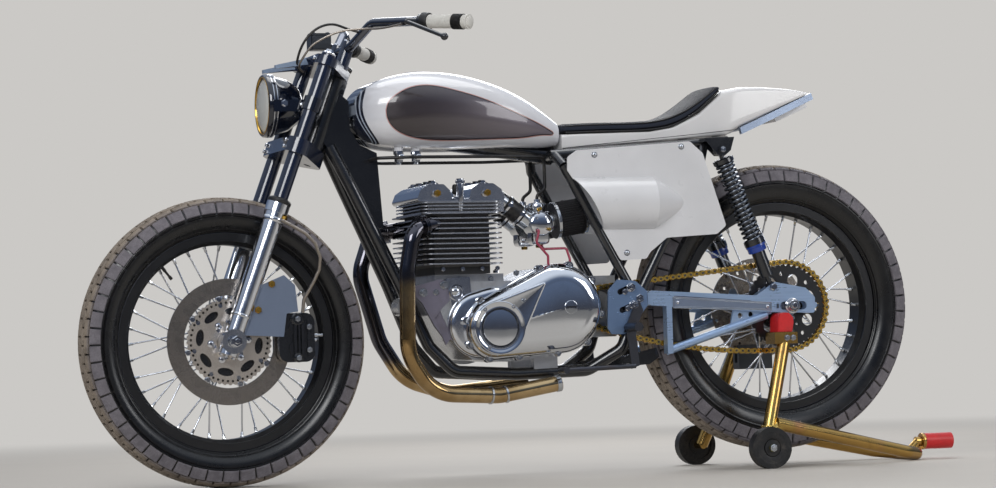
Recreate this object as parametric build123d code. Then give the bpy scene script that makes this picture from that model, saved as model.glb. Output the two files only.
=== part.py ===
# Flat track motorcycle on a paddock stand, in millimetres, +Z up.
# +X runs from the front wheel to the tail, the left side of the machine faces -Y.
# Places are worked out from the front axle on the floor; save() moves them to the middle.
from build123d import *
import os
from math import cos, pi, radians, sin

# Stance
WHEELBASE = 1402.0
REAR_LIFT = 39.0
RAKE = 20.6
FIT = 0.3
RUNNING = 0.05

# Wheels
FRONT_TYRE_R = 342.0
FRONT_TYRE_W = 130.0
REAR_TYRE_R = 354.0
REAR_TYRE_W = 148.0
BEAD_R = 241.0
RIM_WELL_R = 229.0
RIM_FLANGE_R = 256.0
FRONT_RIM_W = 76.0
REAR_RIM_W = 94.0
SPOKE_R = 2.0
SPOKES = 36
FRONT_AXLE_R = 8.5
FRONT_AXLE_BORE = 5.0
REAR_AXLE_R = 10.0
REAR_AXLE_BORE = 6.0

# Brakes and final drive
FRONT_DISC_R = 148.0
FRONT_DISC_IN_R = 107.0
FRONT_DISC_Y = -68.0
DISC_T = 5.0
CALIPER_HALF = 34.0
REAR_DISC_R = 125.0
REAR_DISC_IN_R = 92.0
REAR_DISC_Y = 86.0
CHAIN_PITCH = 15.875
CHAIN_Y = -92.0
CHAIN_W = 16.0
LINK_T = 2.5
ROLLER_R = 5.0
CHAIN_SAG = 22.0
REAR_TEETH = 43
FRONT_TEETH = 18
GEARBOX = (905.0, 402.0)

# Fork and steering
FORK_Y = 100.0
TUBE_R = 17.5
SLIDER_R = 24.0
SLIDER_TOP = 345.0
STEM_OFFSET = 58.0
STEM_R = 15.0
STEM_BORE = 9.0
LOWER_YOKE = 484.0
TOP_YOKE = 698.0
BAR_R = 11.1
BAR_U = 50.0
BAR_W = 755.0
LAMP_X = 118.0
LAMP_Z = FRONT_TYRE_R + 558.0
LAMP_R = 75.0

# Frame
MAIN_R = 15.0
REAR_TUBE_R = 12.0
PIVOT = (1000.0, 419.0)
PIVOT_BOLT_R = 8.0
PIVOT_TUBE_R = 18.0
PIVOT_BOSS_R = 22.0
REAR_FRAME_Y = 121.0
PIVOT_HALF = REAR_FRAME_Y - MAIN_R - FIT
RAIL_Y = 92.0
BACKBONE = ((300.0, 850.0), (834.0, 776.0))
BACKBONE_R = 24.0
SEAT_LINE = ((826.0, 785.0), (1265.0, 815.0))
CRADLE = ((700.0, 246.0), (880.0, 250.0))
CRADLE_Y = 88.0
FRONT_LUG = (447.0, 415.0)
CROSS_R = 12.0
ENGINE_PLATE_T = 6.0

# Rear end
ARM_Y = 121.0
ARM_T = 26.0
SHOCK_TOP = (1228.0, 778.0)
SHOCK_FOOT = (1354.0, 440.0)
SHOCK_PIN_R = 9.0
SHOCK_EYE = 12.0
EAR_T = 4.0

# Stand
STAND_WHEEL_R = 50.0
STAND_WHEEL_X = WHEELBASE - 117.0
STAND_WHEEL_W = 30.0
STAND_AXLE_R = 9.0
STAND_TRACK = 490.0
STAND_TUBE_R = 16.0
HANDLE_END = WHEELBASE + 482.0
HANDLE_R = 20.0

REAR_AXLE_Z = REAR_LIFT + REAR_TYRE_R
FRONT_AXLE = (0.0, 0.0, FRONT_TYRE_R)
REAR_AXLE = (WHEELBASE, 0.0, REAR_AXLE_Z)
X_MID = (HANDLE_END - FRONT_TYRE_R) / 2
COS_RAKE = cos(radians(RAKE))
SIN_RAKE = sin(radians(RAKE))
STEER_X = (COS_RAKE, 0, -SIN_RAKE)
STEER_Z = (SIN_RAKE, 0, COS_RAKE)
FRONT_PITCH_R = CHAIN_PITCH / (2 * sin(pi / FRONT_TEETH))
REAR_PITCH_R = CHAIN_PITCH / (2 * sin(pi / REAR_TEETH))
ENGINE_PLATE_Y = REAR_FRAME_Y + MAIN_R + FIT


def fork(u, v, w):
    """A place from the front axle: u behind the fork's line, v to the right, w up along it."""
    return (u * COS_RAKE + w * SIN_RAKE, v, FRONT_TYRE_R - u * SIN_RAKE + w * COS_RAKE)


def across_fork(w, u=0.0, v=0.0):
    """The plane square to the fork at height w."""
    return Plane(origin=fork(u, v, w), x_dir=STEER_X, z_dir=STEER_Z)


def side(y):
    """A plane parallel to the machine's middle: its x is X, its y is Z, and it looks to -Y."""
    return Plane(origin=(0, y, 0), x_dir=(1, 0, 0), z_dir=(0, -1, 0))


def on_line(line, x):
    """The height at x of the straight line between two places (x, z)."""
    (x0, z0), (x1, z1) = line
    return z0 + (x - x0) * (z1 - z0) / (x1 - x0)


def rod(a, b, radius):
    """A round bar from a to b."""
    start = Vector(*a)
    along = Vector(*b) - start
    return Solid.make_cylinder(radius, along.length, Plane(origin=start, z_dir=along))


def disc(x, z, y0, y1, radius):
    """A round block along Y between y0 and y1."""
    return rod((x, min(y0, y1), z), (x, max(y0, y1), z), radius)


def block(x0, x1, y0, y1, z0, z1):
    """A square block between two corners, given in any order along Y."""
    size = (x1 - x0, abs(y1 - y0), z1 - z0)
    return Pos((x0 + x1) / 2, (y0 + y1) / 2, (z0 + z1) / 2) * Box(*size)


def tube(points, radius, bend, bore=0.0):
    """A tube along straight runs joined by arcs of radius bend, hollow where bore is given."""
    path = FilletPolyline(*points, radius=bend) if len(points) > 2 else Line(*points)
    start = Plane(origin=path @ 0, z_dir=path % 0)
    solid = sweep(start * Circle(radius), path=path)
    if bore:
        solid -= sweep(start * Circle(bore), path=path)
    return solid


def outline_of(points, corner=0.0):
    """A closed outline through the points, its corners rounded where corner is given."""
    if corner:
        return FilletPolyline(*points, radius=corner, close=True)
    return Polyline(*points, close=True)


def plate(points, y0, y1, corner=0.0):
    """A flat plate between y0 and y1 with the outline points (x, z)."""
    face = make_face(side(max(y0, y1)) * outline_of(points, corner))
    return extrude(face, abs(y1 - y0), dir=(0, -1, 0))


def from_above(points, z0, z1, corner=0.0):
    """A block between two heights with the plan outline (x, half width), the same on both sides."""
    mirrored = [(x, -half) for x, half in reversed(points)]
    return extrude(Pos(0, 0, z0) * make_face(outline_of([*points, *mirrored], corner)), z1 - z0, dir=(0, 0, 1))


def both(shape):
    """The shape and its mirror image on the other side."""
    return [shape, shape.mirror(Plane.XZ)]


def save(name, *shapes):
    """Write the solids of one node, moved so that the origin is at the middle of the whole."""
    solids = [s.moved(Location((-X_MID, 0, 0))) for shape in shapes for s in shape.solids()]
    export_step(Compound(children=solids), "parts/" + name + ".step")


# Wheels, each round its own axle along Y
def tyre(radius, width, rim_width, axle):
    """A ring from the bead to the crown: sidewalls as arcs, shoulders, a slightly round crown."""
    seat = rim_width / 2 - FIT
    half = width / 2
    flange = RIM_FLANGE_R + 2
    shoulder = radius - 16
    low = (BEAD_R + FIT, seat)
    top = (flange, seat)
    belly = ((flange + shoulder) / 2 - 6, half)
    edge = (shoulder, half - 10)
    right = [Line(low, top), ThreePointArc(top, belly, edge), Line(edge, (radius - 4, half - 26))]
    crown = ThreePointArc((radius - 4, half - 26), (radius, 0), (radius - 4, 26 - half))
    left = [edge_.mirror(Plane.XZ) for edge_ in right]
    base = Line((BEAD_R + FIT, -seat), low)
    ring = revolve(make_face([*right, crown, *left, base]), Axis.Y)
    return ring.moved(Location(axle))


def rim(width, axle):
    """A channel with a well, bead seats and flanges."""
    half = width / 2
    wall = 3.0
    right = [
        (RIM_WELL_R, half * 0.55),
        (BEAD_R - wall, half * 0.8),
        (BEAD_R - wall, half + wall),
        (RIM_FLANGE_R, half + wall),
        (RIM_FLANGE_R, half),
        (BEAD_R, half),
        (BEAD_R, half * 0.85),
        (RIM_WELL_R + wall, half * 0.6),
    ]
    left = [(radius, -y) for radius, y in reversed(right)]
    ring = revolve(make_face(Polyline(*right, *left, close=True)), Axis.Y)
    return ring.moved(Location(axle))


def spoked_hub(barrel, flange_r, flange_y, bore, ends, axle):
    """A hub barrel with two flanges and crossed spokes out to the rim's well."""
    low, high = ends
    hub = disc(0, 0, low, high, barrel)
    for y in (-flange_y, flange_y):
        hub += disc(0, 0, y - 3, y + 3, flange_r)
    hub -= disc(0, 0, low - 1, high + 1, bore)
    for i in range(SPOKES):
        sign = 1 if i % 2 else -1
        lean = 1 if i % 4 < 2 else -1
        at_rim = radians(360 * i / SPOKES)
        at_hub = at_rim + lean * radians(55)
        inner = flange_r - 5
        a = (inner * cos(at_hub), sign * (flange_y + 3 * lean), inner * sin(at_hub))
        outer = RIM_WELL_R - FIT - 0.4
        b = (outer * cos(at_rim), sign * 7, outer * sin(at_rim))
        hub += rod(a, b, SPOKE_R)
    return hub.moved(Location(axle))


def brake_disc(radius, inner, y, carrier_r, bore, seat_y, axle):
    """A flat ring on a carrier with round windows, bolted to the hub's face, its rim drilled."""
    half = DISC_T / 2
    ring = disc(0, 0, y - half, y + half, radius)
    for i in range(6):
        angle = radians(60 * i + 30)
        mid = (inner + carrier_r) / 2
        ring -= disc(mid * cos(angle), mid * sin(angle), y - half - 1, y + half + 1, (inner - carrier_r) * 0.36)
    for i in range(24):
        angle = radians(15 * i)
        mid = (inner + radius) / 2 + (radius - inner) * (0.2 if i % 2 else -0.2)
        ring -= disc(mid * cos(angle), mid * sin(angle), y - half - 1, y + half + 1, 4)
    ring += disc(0, 0, y, seat_y, carrier_r - 8)
    ring -= disc(0, 0, min(y, seat_y) - 20, max(y, seat_y) + 20, bore)
    return ring.moved(Location(axle))


def sprocket():
    """A toothed disc with lightening holes; the teeth stay inside the chain's rollers."""
    tip = REAR_PITCH_R - ROLLER_R - 2 * FIT
    root = tip - 5.0
    body = disc(0, 0, CHAIN_Y - 3, CHAIN_Y + 3, root + 0.5)
    tooth = plate([(root - 1, -4.6), (tip, -1.8), (tip, 1.8), (root - 1, 4.6)], CHAIN_Y - 2.5, CHAIN_Y + 2.5)
    for i in range(REAR_TEETH):
        body += tooth.rotate(Axis.Y, 360 * i / REAR_TEETH)
    for i in range(6):
        angle = radians(60 * i)
        body -= disc(72 * cos(angle), 72 * sin(angle), CHAIN_Y - 4, CHAIN_Y + 4, 12)
    body += disc(0, 0, CHAIN_Y, -58, 38)
    body -= disc(0, 0, CHAIN_Y - 10, -50, 30)
    return body.moved(Location(REAR_AXLE))


def front_wheel():
    save("front_tyre", tyre(FRONT_TYRE_R, FRONT_TYRE_W, FRONT_RIM_W, FRONT_AXLE))
    save("front_rim", rim(FRONT_RIM_W, FRONT_AXLE))
    save("front_hub", spoked_hub(26, 46, 34, FRONT_AXLE_R + RUNNING, (-60, 60), FRONT_AXLE))
    rotor = brake_disc(FRONT_DISC_R, FRONT_DISC_IN_R, FRONT_DISC_Y, 62, 27, -40, FRONT_AXLE)
    save("front_disc", rotor)


def rear_wheel():
    save("rear_tyre", tyre(REAR_TYRE_R, REAR_TYRE_W, REAR_RIM_W, REAR_AXLE))
    save("rear_rim", rim(REAR_RIM_W, REAR_AXLE))
    save("rear_hub", spoked_hub(29, 56, 38, REAR_AXLE_R + RUNNING, (-98, 92), REAR_AXLE))
    save("rear_sprocket", sprocket())
    save("rear_disc", brake_disc(REAR_DISC_R, REAR_DISC_IN_R, REAR_DISC_Y, 58, 30, 44, REAR_AXLE))


# Fork and controls
def yoke(w, thick, tube_ring, stem_ring, bore):
    """A plate round both fork tubes and the stem."""
    at = across_fork(w - thick / 2)
    rings = Sketch()
    for v in (-FORK_Y, FORK_Y):
        rings += Pos(0, v) * Circle(tube_ring)
    rings += Pos(STEM_OFFSET, 0) * Circle(stem_ring)
    solid = extrude(at * make_hull(rings.edges()), thick)
    for v in (-FORK_Y, FORK_Y):
        solid -= rod(fork(0, v, w - thick), fork(0, v, w + thick), TUBE_R + FIT)
    if bore:
        solid -= rod(fork(STEM_OFFSET, 0, w - thick), fork(STEM_OFFSET, 0, w + thick), bore)
    return solid


LOWER_THICK = 36.0
TOP_THICK = 22.0


def yokes():
    """Both yokes with the stem, its nut, and the two posts that clamp the bar."""
    top_face = TOP_YOKE + TOP_THICK / 2
    lower = yoke(LOWER_YOKE, LOWER_THICK, 29, 32, 0)
    lower += rod(fork(STEM_OFFSET, 0, LOWER_YOKE), fork(STEM_OFFSET, 0, top_face + 9), STEM_R)
    lower += rod(fork(STEM_OFFSET, 0, top_face + FIT), fork(STEM_OFFSET, 0, top_face + 14), 20)
    lower += rod(fork(STEM_OFFSET, 0, top_face + 14), fork(STEM_OFFSET, 0, top_face + 24), 12)
    lower -= rod(fork(STEM_OFFSET, 0, LOWER_YOKE - 30), fork(STEM_OFFSET, 0, LOWER_YOKE + 60), STEM_BORE)
    save("lower_yoke", lower)
    top = yoke(TOP_YOKE, TOP_THICK, 27, 28, STEM_R + FIT)
    for v in (-60, 60):
        top += plate([(131, 983), (131, 991), (214, 1008), (226, 1006), (222, 990)], v - 6, v + 6)
    for v in (-45, 45):
        top += rod(fork(BAR_U, v, TOP_YOKE + 8), fork(BAR_U, v, BAR_W + 16), 16)
    top -= handlebar_tube(BAR_R + FIT)
    save("top_yoke", top)


def fork_legs():
    """Polished tubes in sliders that step out at the seal and end in the axle's clamp."""
    tubes = []
    sliders = []
    for v in (-FORK_Y, FORK_Y):
        tubes.append(rod(fork(0, v, 120), fork(0, v, TOP_YOKE + 17), TUBE_R))
        leg = rod(fork(0, v, -34), fork(0, v, SLIDER_TOP - 26), SLIDER_R)
        leg += rod(fork(0, v, SLIDER_TOP - 26), fork(0, v, SLIDER_TOP), 28)
        leg += disc(0, FRONT_TYRE_R, v - SLIDER_R, v + SLIDER_R, 29)
        leg -= rod(fork(0, v, 110), fork(0, v, SLIDER_TOP + 1), TUBE_R + FIT)
        leg -= disc(0, FRONT_TYRE_R, v - 40, v + 40, FRONT_AXLE_R + FIT)
        sliders.append(leg)
    save("fork_tubes", *tubes)
    save("fork_sliders", *sliders)
    end = FORK_Y + SLIDER_R + 5
    axle = disc(0, FRONT_TYRE_R, -end, end, FRONT_AXLE_R)
    axle += disc(0, FRONT_TYRE_R, -end - 8, -end, 14) + disc(0, FRONT_TYRE_R, end, end + 8, 14)
    axle -= disc(0, FRONT_TYRE_R, -end - 9, end + 9, FRONT_AXLE_BORE)
    save("front_axle", axle)


BAR_HALF = [
    fork(BAR_U, 0, BAR_W),
    fork(BAR_U, -66, BAR_W),
    (353.0, -125.0, 1085.0),
    (410.0, -293.0, 1071.0),
    (504.0, -413.0, 1057.0),
]


def handlebar_tube(radius, bore=0.0):
    """The bent bar as one sweep from the left end to the right end."""
    left = BAR_HALF[:0:-1]
    right = [(x, -y, z) for x, y, z in BAR_HALF[1:]]
    return tube([*left, *right], radius, 38, bore)


def along_grip(t, s):
    """A place on the straight grip stretch, t mm in from the bar's end, on side s."""
    end = Vector(*BAR_HALF[4])
    inner = Vector(*BAR_HALF[3])
    at = end + (inner - end).normalized() * t
    return (at.X, -s * at.Y, at.Z)


def controls():
    save("handlebar", handlebar_tube(BAR_R, 8.0))
    grips = []
    levers = []
    for s in (-1, 1):
        grip = rod(along_grip(2, s), along_grip(122, s), 16)
        grip += rod(along_grip(16, s), along_grip(22, s), 19)
        grip += rod(along_grip(114, s), along_grip(122, s), 20)
        grip -= rod(along_grip(-10, s), along_grip(140, s), BAR_R + FIT)
        grips.append(grip)
        inner = Vector(*along_grip(141, s))
        out = (Vector(*along_grip(0, s)) - inner).normalized()
        perch = rod(along_grip(125, s), tuple(inner), 17)
        pivot = inner + Vector(-34, 0, 0)
        perch += rod(tuple(inner + out * 6), tuple(pivot), 8)
        tip = Vector(*along_grip(6, s)) + Vector(-58, 0, -34)
        perch += rod(tuple(pivot), tuple(tip), 5) + Pos(*tuple(tip)) * Sphere(9)
        if s > 0:
            perch += rod(tuple(pivot), (346, 272, 1074), 7)
            perch += fillet(block(306, 350, 245, 287, 1060, 1096).edges().filter_by(Axis.Z), 8)
        perch -= rod(along_grip(120, s), along_grip(160, s), BAR_R + FIT)
        levers.append(perch)
    save("grips", *grips)
    save("levers", *levers)


def headlamp():
    outline = [(0, 0), (0, 66), (-3, 74), (14, LAMP_R), (22, 70), (52, 62), (78, 44), (90, 20), (92, 0)]
    shell = revolve(make_face(Polyline(*outline, close=True)), Axis.X)
    save("headlamp_shell", shell.moved(Location((LAMP_X, 0, LAMP_Z))))
    dome_r = (65**2 + 10**2) / 20
    dome_mid = dome_r - 14 - (dome_r**2 - 33**2) ** 0.5
    glass = revolve(make_face([
        Line((-FIT, 0), (-FIT, 65)),
        Line((-FIT, 65), (-4, 65)),
        ThreePointArc((-4, 65), (dome_mid, 33), (-14, 0)),
        Line((-14, 0), (-FIT, 0)),
    ]), Axis.X)
    save("headlamp_lens", glass.moved(Location((LAMP_X, 0, LAMP_Z))))
    ears = []
    w = 590
    for v in (-1, 1):
        clamp = rod(fork(0, v * FORK_Y, w - 16), fork(0, v * FORK_Y, w + 16), TUBE_R + 5)
        x, y, z = fork(0, v * FORK_Y, w)
        clamp += block(LAMP_X + 2, x, v * (LAMP_R + FIT), v * (LAMP_R + 6), z - 14, z + 14)
        clamp -= rod(fork(0, v * FORK_Y, w - 40), fork(0, v * FORK_Y, w + 40), TUBE_R + FIT)
        ears.append(clamp)
    save("lamp_brackets", *ears)


CALIPER_Z = (290.0, 405.0)


def front_brake():
    """The caliper over the disc, and the plate that carries it on the left slider."""
    x0, x1 = 112.0, 198.0
    z0, z1 = CALIPER_Z
    outer = FRONT_DISC_Y - CALIPER_HALF
    caliper = fillet(block(x0, x1, outer, FRONT_DISC_Y + 30, z0, z1).edges().filter_by(Axis.Y), 22)
    for z in (z0 + 32, z1 - 32):
        caliper += disc(x0 + 44, z, outer, outer - 4, 20)
    caliper -= block(x0 - 1, x1 - 18, FRONT_DISC_Y - 8, FRONT_DISC_Y + 8, z0 - 1, z1 + 1)
    save("front_caliper", caliper)
    points = [(22, 356), (24, 396), (66, 470), (126, 494), (152, 470), (158, 408), (130, 404), (122, 350)]
    hanger = plate(points, outer - FIT, outer - FIT - 6)
    for z in (z0 + 32, z1 - 32):
        hanger -= disc(x0 + 44, z, outer, outer - 8, 20 + FIT)
    hanger -= rod(fork(0, -FORK_Y, -40), fork(0, -FORK_Y, SLIDER_TOP + 4), SLIDER_R + FIT)
    hanger -= disc(0, FRONT_TYRE_R, -130, -70, 29 + FIT)
    save("caliper_bracket", hanger)


# Frame
def frame():
    """The head, the backbone, two down tubes that run under the engine, and the pivot's bosses."""
    head_low = LOWER_YOKE + LOWER_THICK / 2 + 2
    head_high = TOP_YOKE - TOP_THICK / 2 - 2
    head = rod(fork(STEM_OFFSET, 0, head_low), fork(STEM_OFFSET, 0, head_high), 29)
    gusset = plate([(262, 860), (298, 925), (318, 908), (319, 842), (342, 804), (384, 784), (396, 604), (384, 604),
                    (300, 740), (250, 815)], -26, 26)
    (x0, z0), (x1, z1) = BACKBONE
    main = head + gusset + rod((x0, 0, z0), (x1, 0, z1), BACKBONE_R)
    down = [
        (268, 24, 800),
        (311, 35, 710),
        (425, 52, 467),
        (488, 66, 318),
        (545, 82, 256),
        (CRADLE[0][0], CRADLE_Y, CRADLE[0][1]),
        (CRADLE[1][0], CRADLE_Y, CRADLE[1][1]),
        (960, REAR_FRAME_Y, 300),
        (PIVOT[0], REAR_FRAME_Y, PIVOT[1]),
    ]
    for s in (-1, 1):
        main += tube([(x, s * y, z) for x, y, z in down], MAIN_R, 40)
        main += disc(*PIVOT, s * PIVOT_HALF, s * (REAR_FRAME_Y + MAIN_R), PIVOT_BOSS_R)
        rail = [(884, 250), (1040, 260), (1066, 278), (1058, 300), (1040, 296), (884, 262)]
        main += plate(rail, s * (CRADLE_Y - 4), s * (CRADLE_Y + 4), 3)
    main += disc(*PIVOT, -PIVOT_HALF - 5, PIVOT_HALF + 5, PIVOT_BOLT_R)
    main += disc(*CRADLE[0], -CRADLE_Y, CRADLE_Y, CROSS_R)
    main += disc(*FRONT_LUG, -52, 52, CROSS_R)
    reach = RAIL_Y - REAR_TUBE_R - FIT
    main += disc(820, on_line(SEAT_LINE, 820) - REAR_TUBE_R - FIT, -reach, reach, CROSS_R)
    main -= rod(fork(STEM_OFFSET, 0, head_low - 9), fork(STEM_OFFSET, 0, head_high + 9), STEM_R + RUNNING)
    save("frame", main)


def rear_frame():
    """Rails under the seat on two legs a side, with a two-eared bracket for each shock."""
    drop = REAR_TUBE_R + FIT

    def rail_at(x, s):
        return (x, s * RAIL_Y, on_line(SEAT_LINE, x) - drop)

    x, z = SHOCK_TOP
    ear = [(x - 44, z + 28), (x + 34, z + 31), (x + 24, z - 2), (x + 8, z - 15), (x - 8, z - 14), (x - 24, z + 2)]
    inner = ARM_Y - SHOCK_EYE - FIT
    outer = ARM_Y + SHOCK_EYE + FIT
    rails = []
    for s in (-1, 1):
        y = s * REAR_FRAME_Y
        rail = rod(rail_at(800, s), rail_at(1262, s), REAR_TUBE_R)
        rail += rod((PIVOT[0] - 14, y, PIVOT[1] + 24), (822, y, 745), REAR_TUBE_R)
        rail += rod((PIVOT[0] + 14, y, PIVOT[1] + 24), (1176, y, 742), REAR_TUBE_R)
        rail += rod((1174, y, 738), rail_at(1200, s), REAR_TUBE_R)
        rail += rod((823, y, 743), rail_at(810, s), REAR_TUBE_R)
        rail += plate(ear, s * inner, s * (inner - EAR_T)) + plate(ear, s * outer, s * (outer + EAR_T))
        cap = [(x - 44, z + 20), (x - 44, z + 28), (x + 34, z + 31), (x + 31, z + 20)]
        rail += plate(cap, s * RAIL_Y, s * (outer + EAR_T))
        rail += disc(x, z, s * (inner - EAR_T - 2), s * (outer + EAR_T + 5), SHOCK_PIN_R)
        rails.append(rail)
    subframe = rails[0] + rails[1]
    for x in (1000, 1250):
        subframe += disc(x, on_line(SEAT_LINE, x) - drop, -RAIL_Y, RAIL_Y, 10)
    save("rear_frame", subframe)


# Engine
CASE_Y = 104.0
BARREL_X = (462.0, 660.0)
BARREL_Z = (512.0, 632.0)
BARREL_Y = 146.0
FINS = 11
FIN_T = 3.0
HEAD_FINS = 4
HEAD_FIN_PITCH = 8.0
HEAD_Y = 118.0
COVER_Y = 165.0
CRANK = (634.0, 357.0)
CLUTCH = (797.0, 400.0)
CRANK_R = 76.0
CLUTCH_R = 108.0
CAP_R = 58.0
COVER_ROUND = 42.0
NOSE = (748.0, 459.0)
LUG_Z = (392.0, 438.0)
REAR_LUG = (938.0, 350.0)
INTAKE_Y = 54.0
INTAKE_FACE = 682.0


def hull_of(*circles):
    """The outline round circles (x, z, radius), with straight sides between them."""
    rings = Sketch()
    for x, z, radius in circles:
        rings += Pos(x, z) * Circle(radius)
    return make_hull(rings.edges())


def crankcase():
    """The cases with the barrel's deck, the gearbox, the lugs that meet the frame and the timing covers."""
    outline = [(480, 470), (508, 400), (538, 330), (582, 284), (690, 276), (800, 290), (848, 330), (848, 470), (770, 500),
               (700, 470)]
    cases = plate(outline, -CASE_Y, CASE_Y, 12)
    cases += block(840, 962, -76, 92, 330, 478)
    cases += block(500, 672, -92, 92, 460, 488)
    cases += disc(CRANK[0] - 6, CRANK[1], CASE_Y - 2, 134, 84)
    cases += disc(CLUTCH[0], CLUTCH[1] + 6, CASE_Y - 2, 140, 78)
    for s in (-1, 1):
        cases += block(740, 800, s * (CRADLE_Y - 12), s * (CRADLE_Y + 12), CRADLE[0][1] + 8, 300)
        ends = [(x, s * CRADLE_Y, z) for x, z in CRADLE]
        cases -= rod(*ends, MAIN_R + FIT)
    x, z = FRONT_LUG
    cases += block(x, 520, -28, 28, *LUG_Z) + disc(x, z, -28, 28, (LUG_Z[1] - LUG_Z[0]) / 2)
    cases -= disc(x, z, -29, 29, CROSS_R + FIT)
    cases += disc(*REAR_LUG, -60, ENGINE_PLATE_Y - FIT, 13)
    cases += disc(*GEARBOX, CHAIN_Y - 3, CHAIN_Y + 3, FRONT_PITCH_R - ROLLER_R - 2 * FIT)
    cases += disc(*GEARBOX, CHAIN_Y, -70, 20)
    save("engine_cases", cases)


def primary_cover():
    """The polished cover: two rounds joined, a collar with a pointed nose, its cap and a plug."""
    lid = extrude(side(-CASE_Y - FIT) * hull_of((*CRANK, CRANK_R), (*CLUTCH, CLUTCH_R)), COVER_Y - CASE_Y - FIT)
    lid = fillet(lid.faces().sort_by(Axis.Y)[0].edges(), COVER_ROUND)
    collar = extrude(side(-COVER_Y + 18) * hull_of((*CRANK, CAP_R), (*NOSE, 4)), 26)
    lid += collar
    lid -= disc(*CRANK, -COVER_Y - 9, -COVER_Y - 3, CAP_R - 12)
    lid += disc(*CRANK, -COVER_Y - 6, -COVER_Y - 3, CAP_R - 18)
    plug = disc(814, 402, -COVER_Y - 3, -COVER_Y + 1, 16)
    plug -= block(800, 828, -COVER_Y - 4, -COVER_Y - 1.5, 400.5, 403.5)
    lid += plug
    save("primary_cover", lid)


def barrel():
    """The finned block, let out round the two exhaust ports."""
    low, high = BARREL_Z
    solid = block(BARREL_X[0] + 30, BARREL_X[1] - 30, -BARREL_Y + 26, BARREL_Y - 26, 488 + FIT, high)
    pitch = (high - low) / (FINS - 1)
    for i in range(FINS):
        z = low + i * pitch
        fin = block(*BARREL_X, -BARREL_Y, BARREL_Y, z - FIN_T / 2, z + FIN_T / 2)
        solid += fillet(fin.edges().filter_by(Axis.Z), 24)
    for header in (HEADER_LEFT, HEADER_RIGHT):
        solid -= tube(header[:3], HEADER_R + FIT, HEADER_BENDS[:1])
    save("cylinder_block", solid)


def head():
    """The finned head: a rocker box with four round caps over each row of valves, two intake faces behind."""
    low = BARREL_Z[1] + FIN_T / 2 + FIT
    high = low + HEAD_FINS * HEAD_FIN_PITCH
    solid = block(BARREL_X[0] + 22, BARREL_X[1] - 14, -HEAD_Y + 14, HEAD_Y - 14, low, high)
    for i in range(HEAD_FINS):
        z = low + i * HEAD_FIN_PITCH
        fin = block(BARREL_X[0] + 4, BARREL_X[1] + 6, -HEAD_Y, HEAD_Y, z, z + FIN_T)
        solid += fillet(fin.edges().filter_by(Axis.Z), 18)
    front = [(454, 662), (466, 690), (486, 703), (524, 703), (541, 686), (546, 662)]
    rear = [(586, 662), (592, 690), (612, 704), (648, 704), (668, 690), (680, 662)]
    for box in (front, rear):
        solid += plate(box, -HEAD_Y + 10, HEAD_Y - 10, 8)
        mid = (box[2][0] + box[3][0]) / 2
        solid += disc(mid, 681, -HEAD_Y + 4, HEAD_Y - 4, 9)
        for y in (-74, -30, 30, 74):
            solid += rod((mid, y, 700), (mid, y, 707), 15)
    for y in (-INTAKE_Y, INTAKE_Y):
        solid += block(640, INTAKE_FACE, y - 28, y + 28, 637, 680)
    save("cylinder_head", solid)


def engine_plates():
    """The plates that tie the gearbox to the frame beside the pivot, each with two long holes."""
    outline = [(916, 350), (920, 440), (944, 466), (990, 462), (1020, 436), (1020, 402), (996, 372), (960, 334),
               (926, 334)]
    solid = plate(outline, -ENGINE_PLATE_Y, -ENGINE_PLATE_Y - ENGINE_PLATE_T, 6)
    for x, z in ((950, 436), (954, 392)):
        slot = hull_of((x, z, 7), (x + 20, z + 8, 7))
        solid -= extrude(side(-ENGINE_PLATE_Y + 1) * slot, ENGINE_PLATE_T + 2)
    save("engine_plates", *both(solid))


INTAKE_RISE = 9.0
FILTER_R = 44.0
CARB_Z = 606.0


def intake(t, y):
    """A place t mm behind the carburettor's middle, on the line that rises to the air filter."""
    return (770 + t * cos(radians(INTAKE_RISE)), y, 607 + t * sin(radians(INTAKE_RISE)))


def carburettors():
    bodies = []
    filters = []
    for y in (-INTAKE_Y, INTAKE_Y):
        neck = rod((650, y, 688), (752, y, 612), 22)
        neck -= block(600, INTAKE_FACE + FIT, y - 30, y + 30, 600, 740)
        body = disc(776, CARB_Z, y - 26, y + 26, 30)
        body += block(758, 796, y - 20, y + 20, CARB_Z - 44, 600) + rod((776, y, 630), (776, y, CARB_Z + 48), 19)
        body += rod(intake(0, y), intake(46, y), 23)
        bodies.append(neck + body)
        element = rod(intake(46 + FIT, y), intake(124, y), FILTER_R - 3)
        for t in (46 + FIT, 114):
            element += rod(intake(t, y), intake(t + 10, y), FILTER_R)
        filters.append(element)
    save("carburettors", *bodies)
    save("air_filters", *filters)


HEADER_R = 19.0
HEADER_BENDS = (45.0, 90.0, 110.0, 110.0, 90.0)
HEADER_LEFT = [
    (494.0, -124.0, 608.0),
    (430.0, -160.0, 596.0),
    (412.0, -160.0, 500.0),
    (408.0, -158.0, 300.0),
    (470.0, -146.0, 205.0),
    (640.0, -128.0, 196.0),
    (796.0, -126.0, 222.0),
]
HEADER_RIGHT = [
    (494.0, 124.0, 608.0),
    (416.0, 156.0, 596.0),
    (382.0, 154.0, 500.0),
    (428.0, 150.0, 335.0),
    (484.0, 140.0, 240.0),
    (600.0, 130.0, 203.0),
    (796.0, 126.0, 222.0),
]


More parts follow.
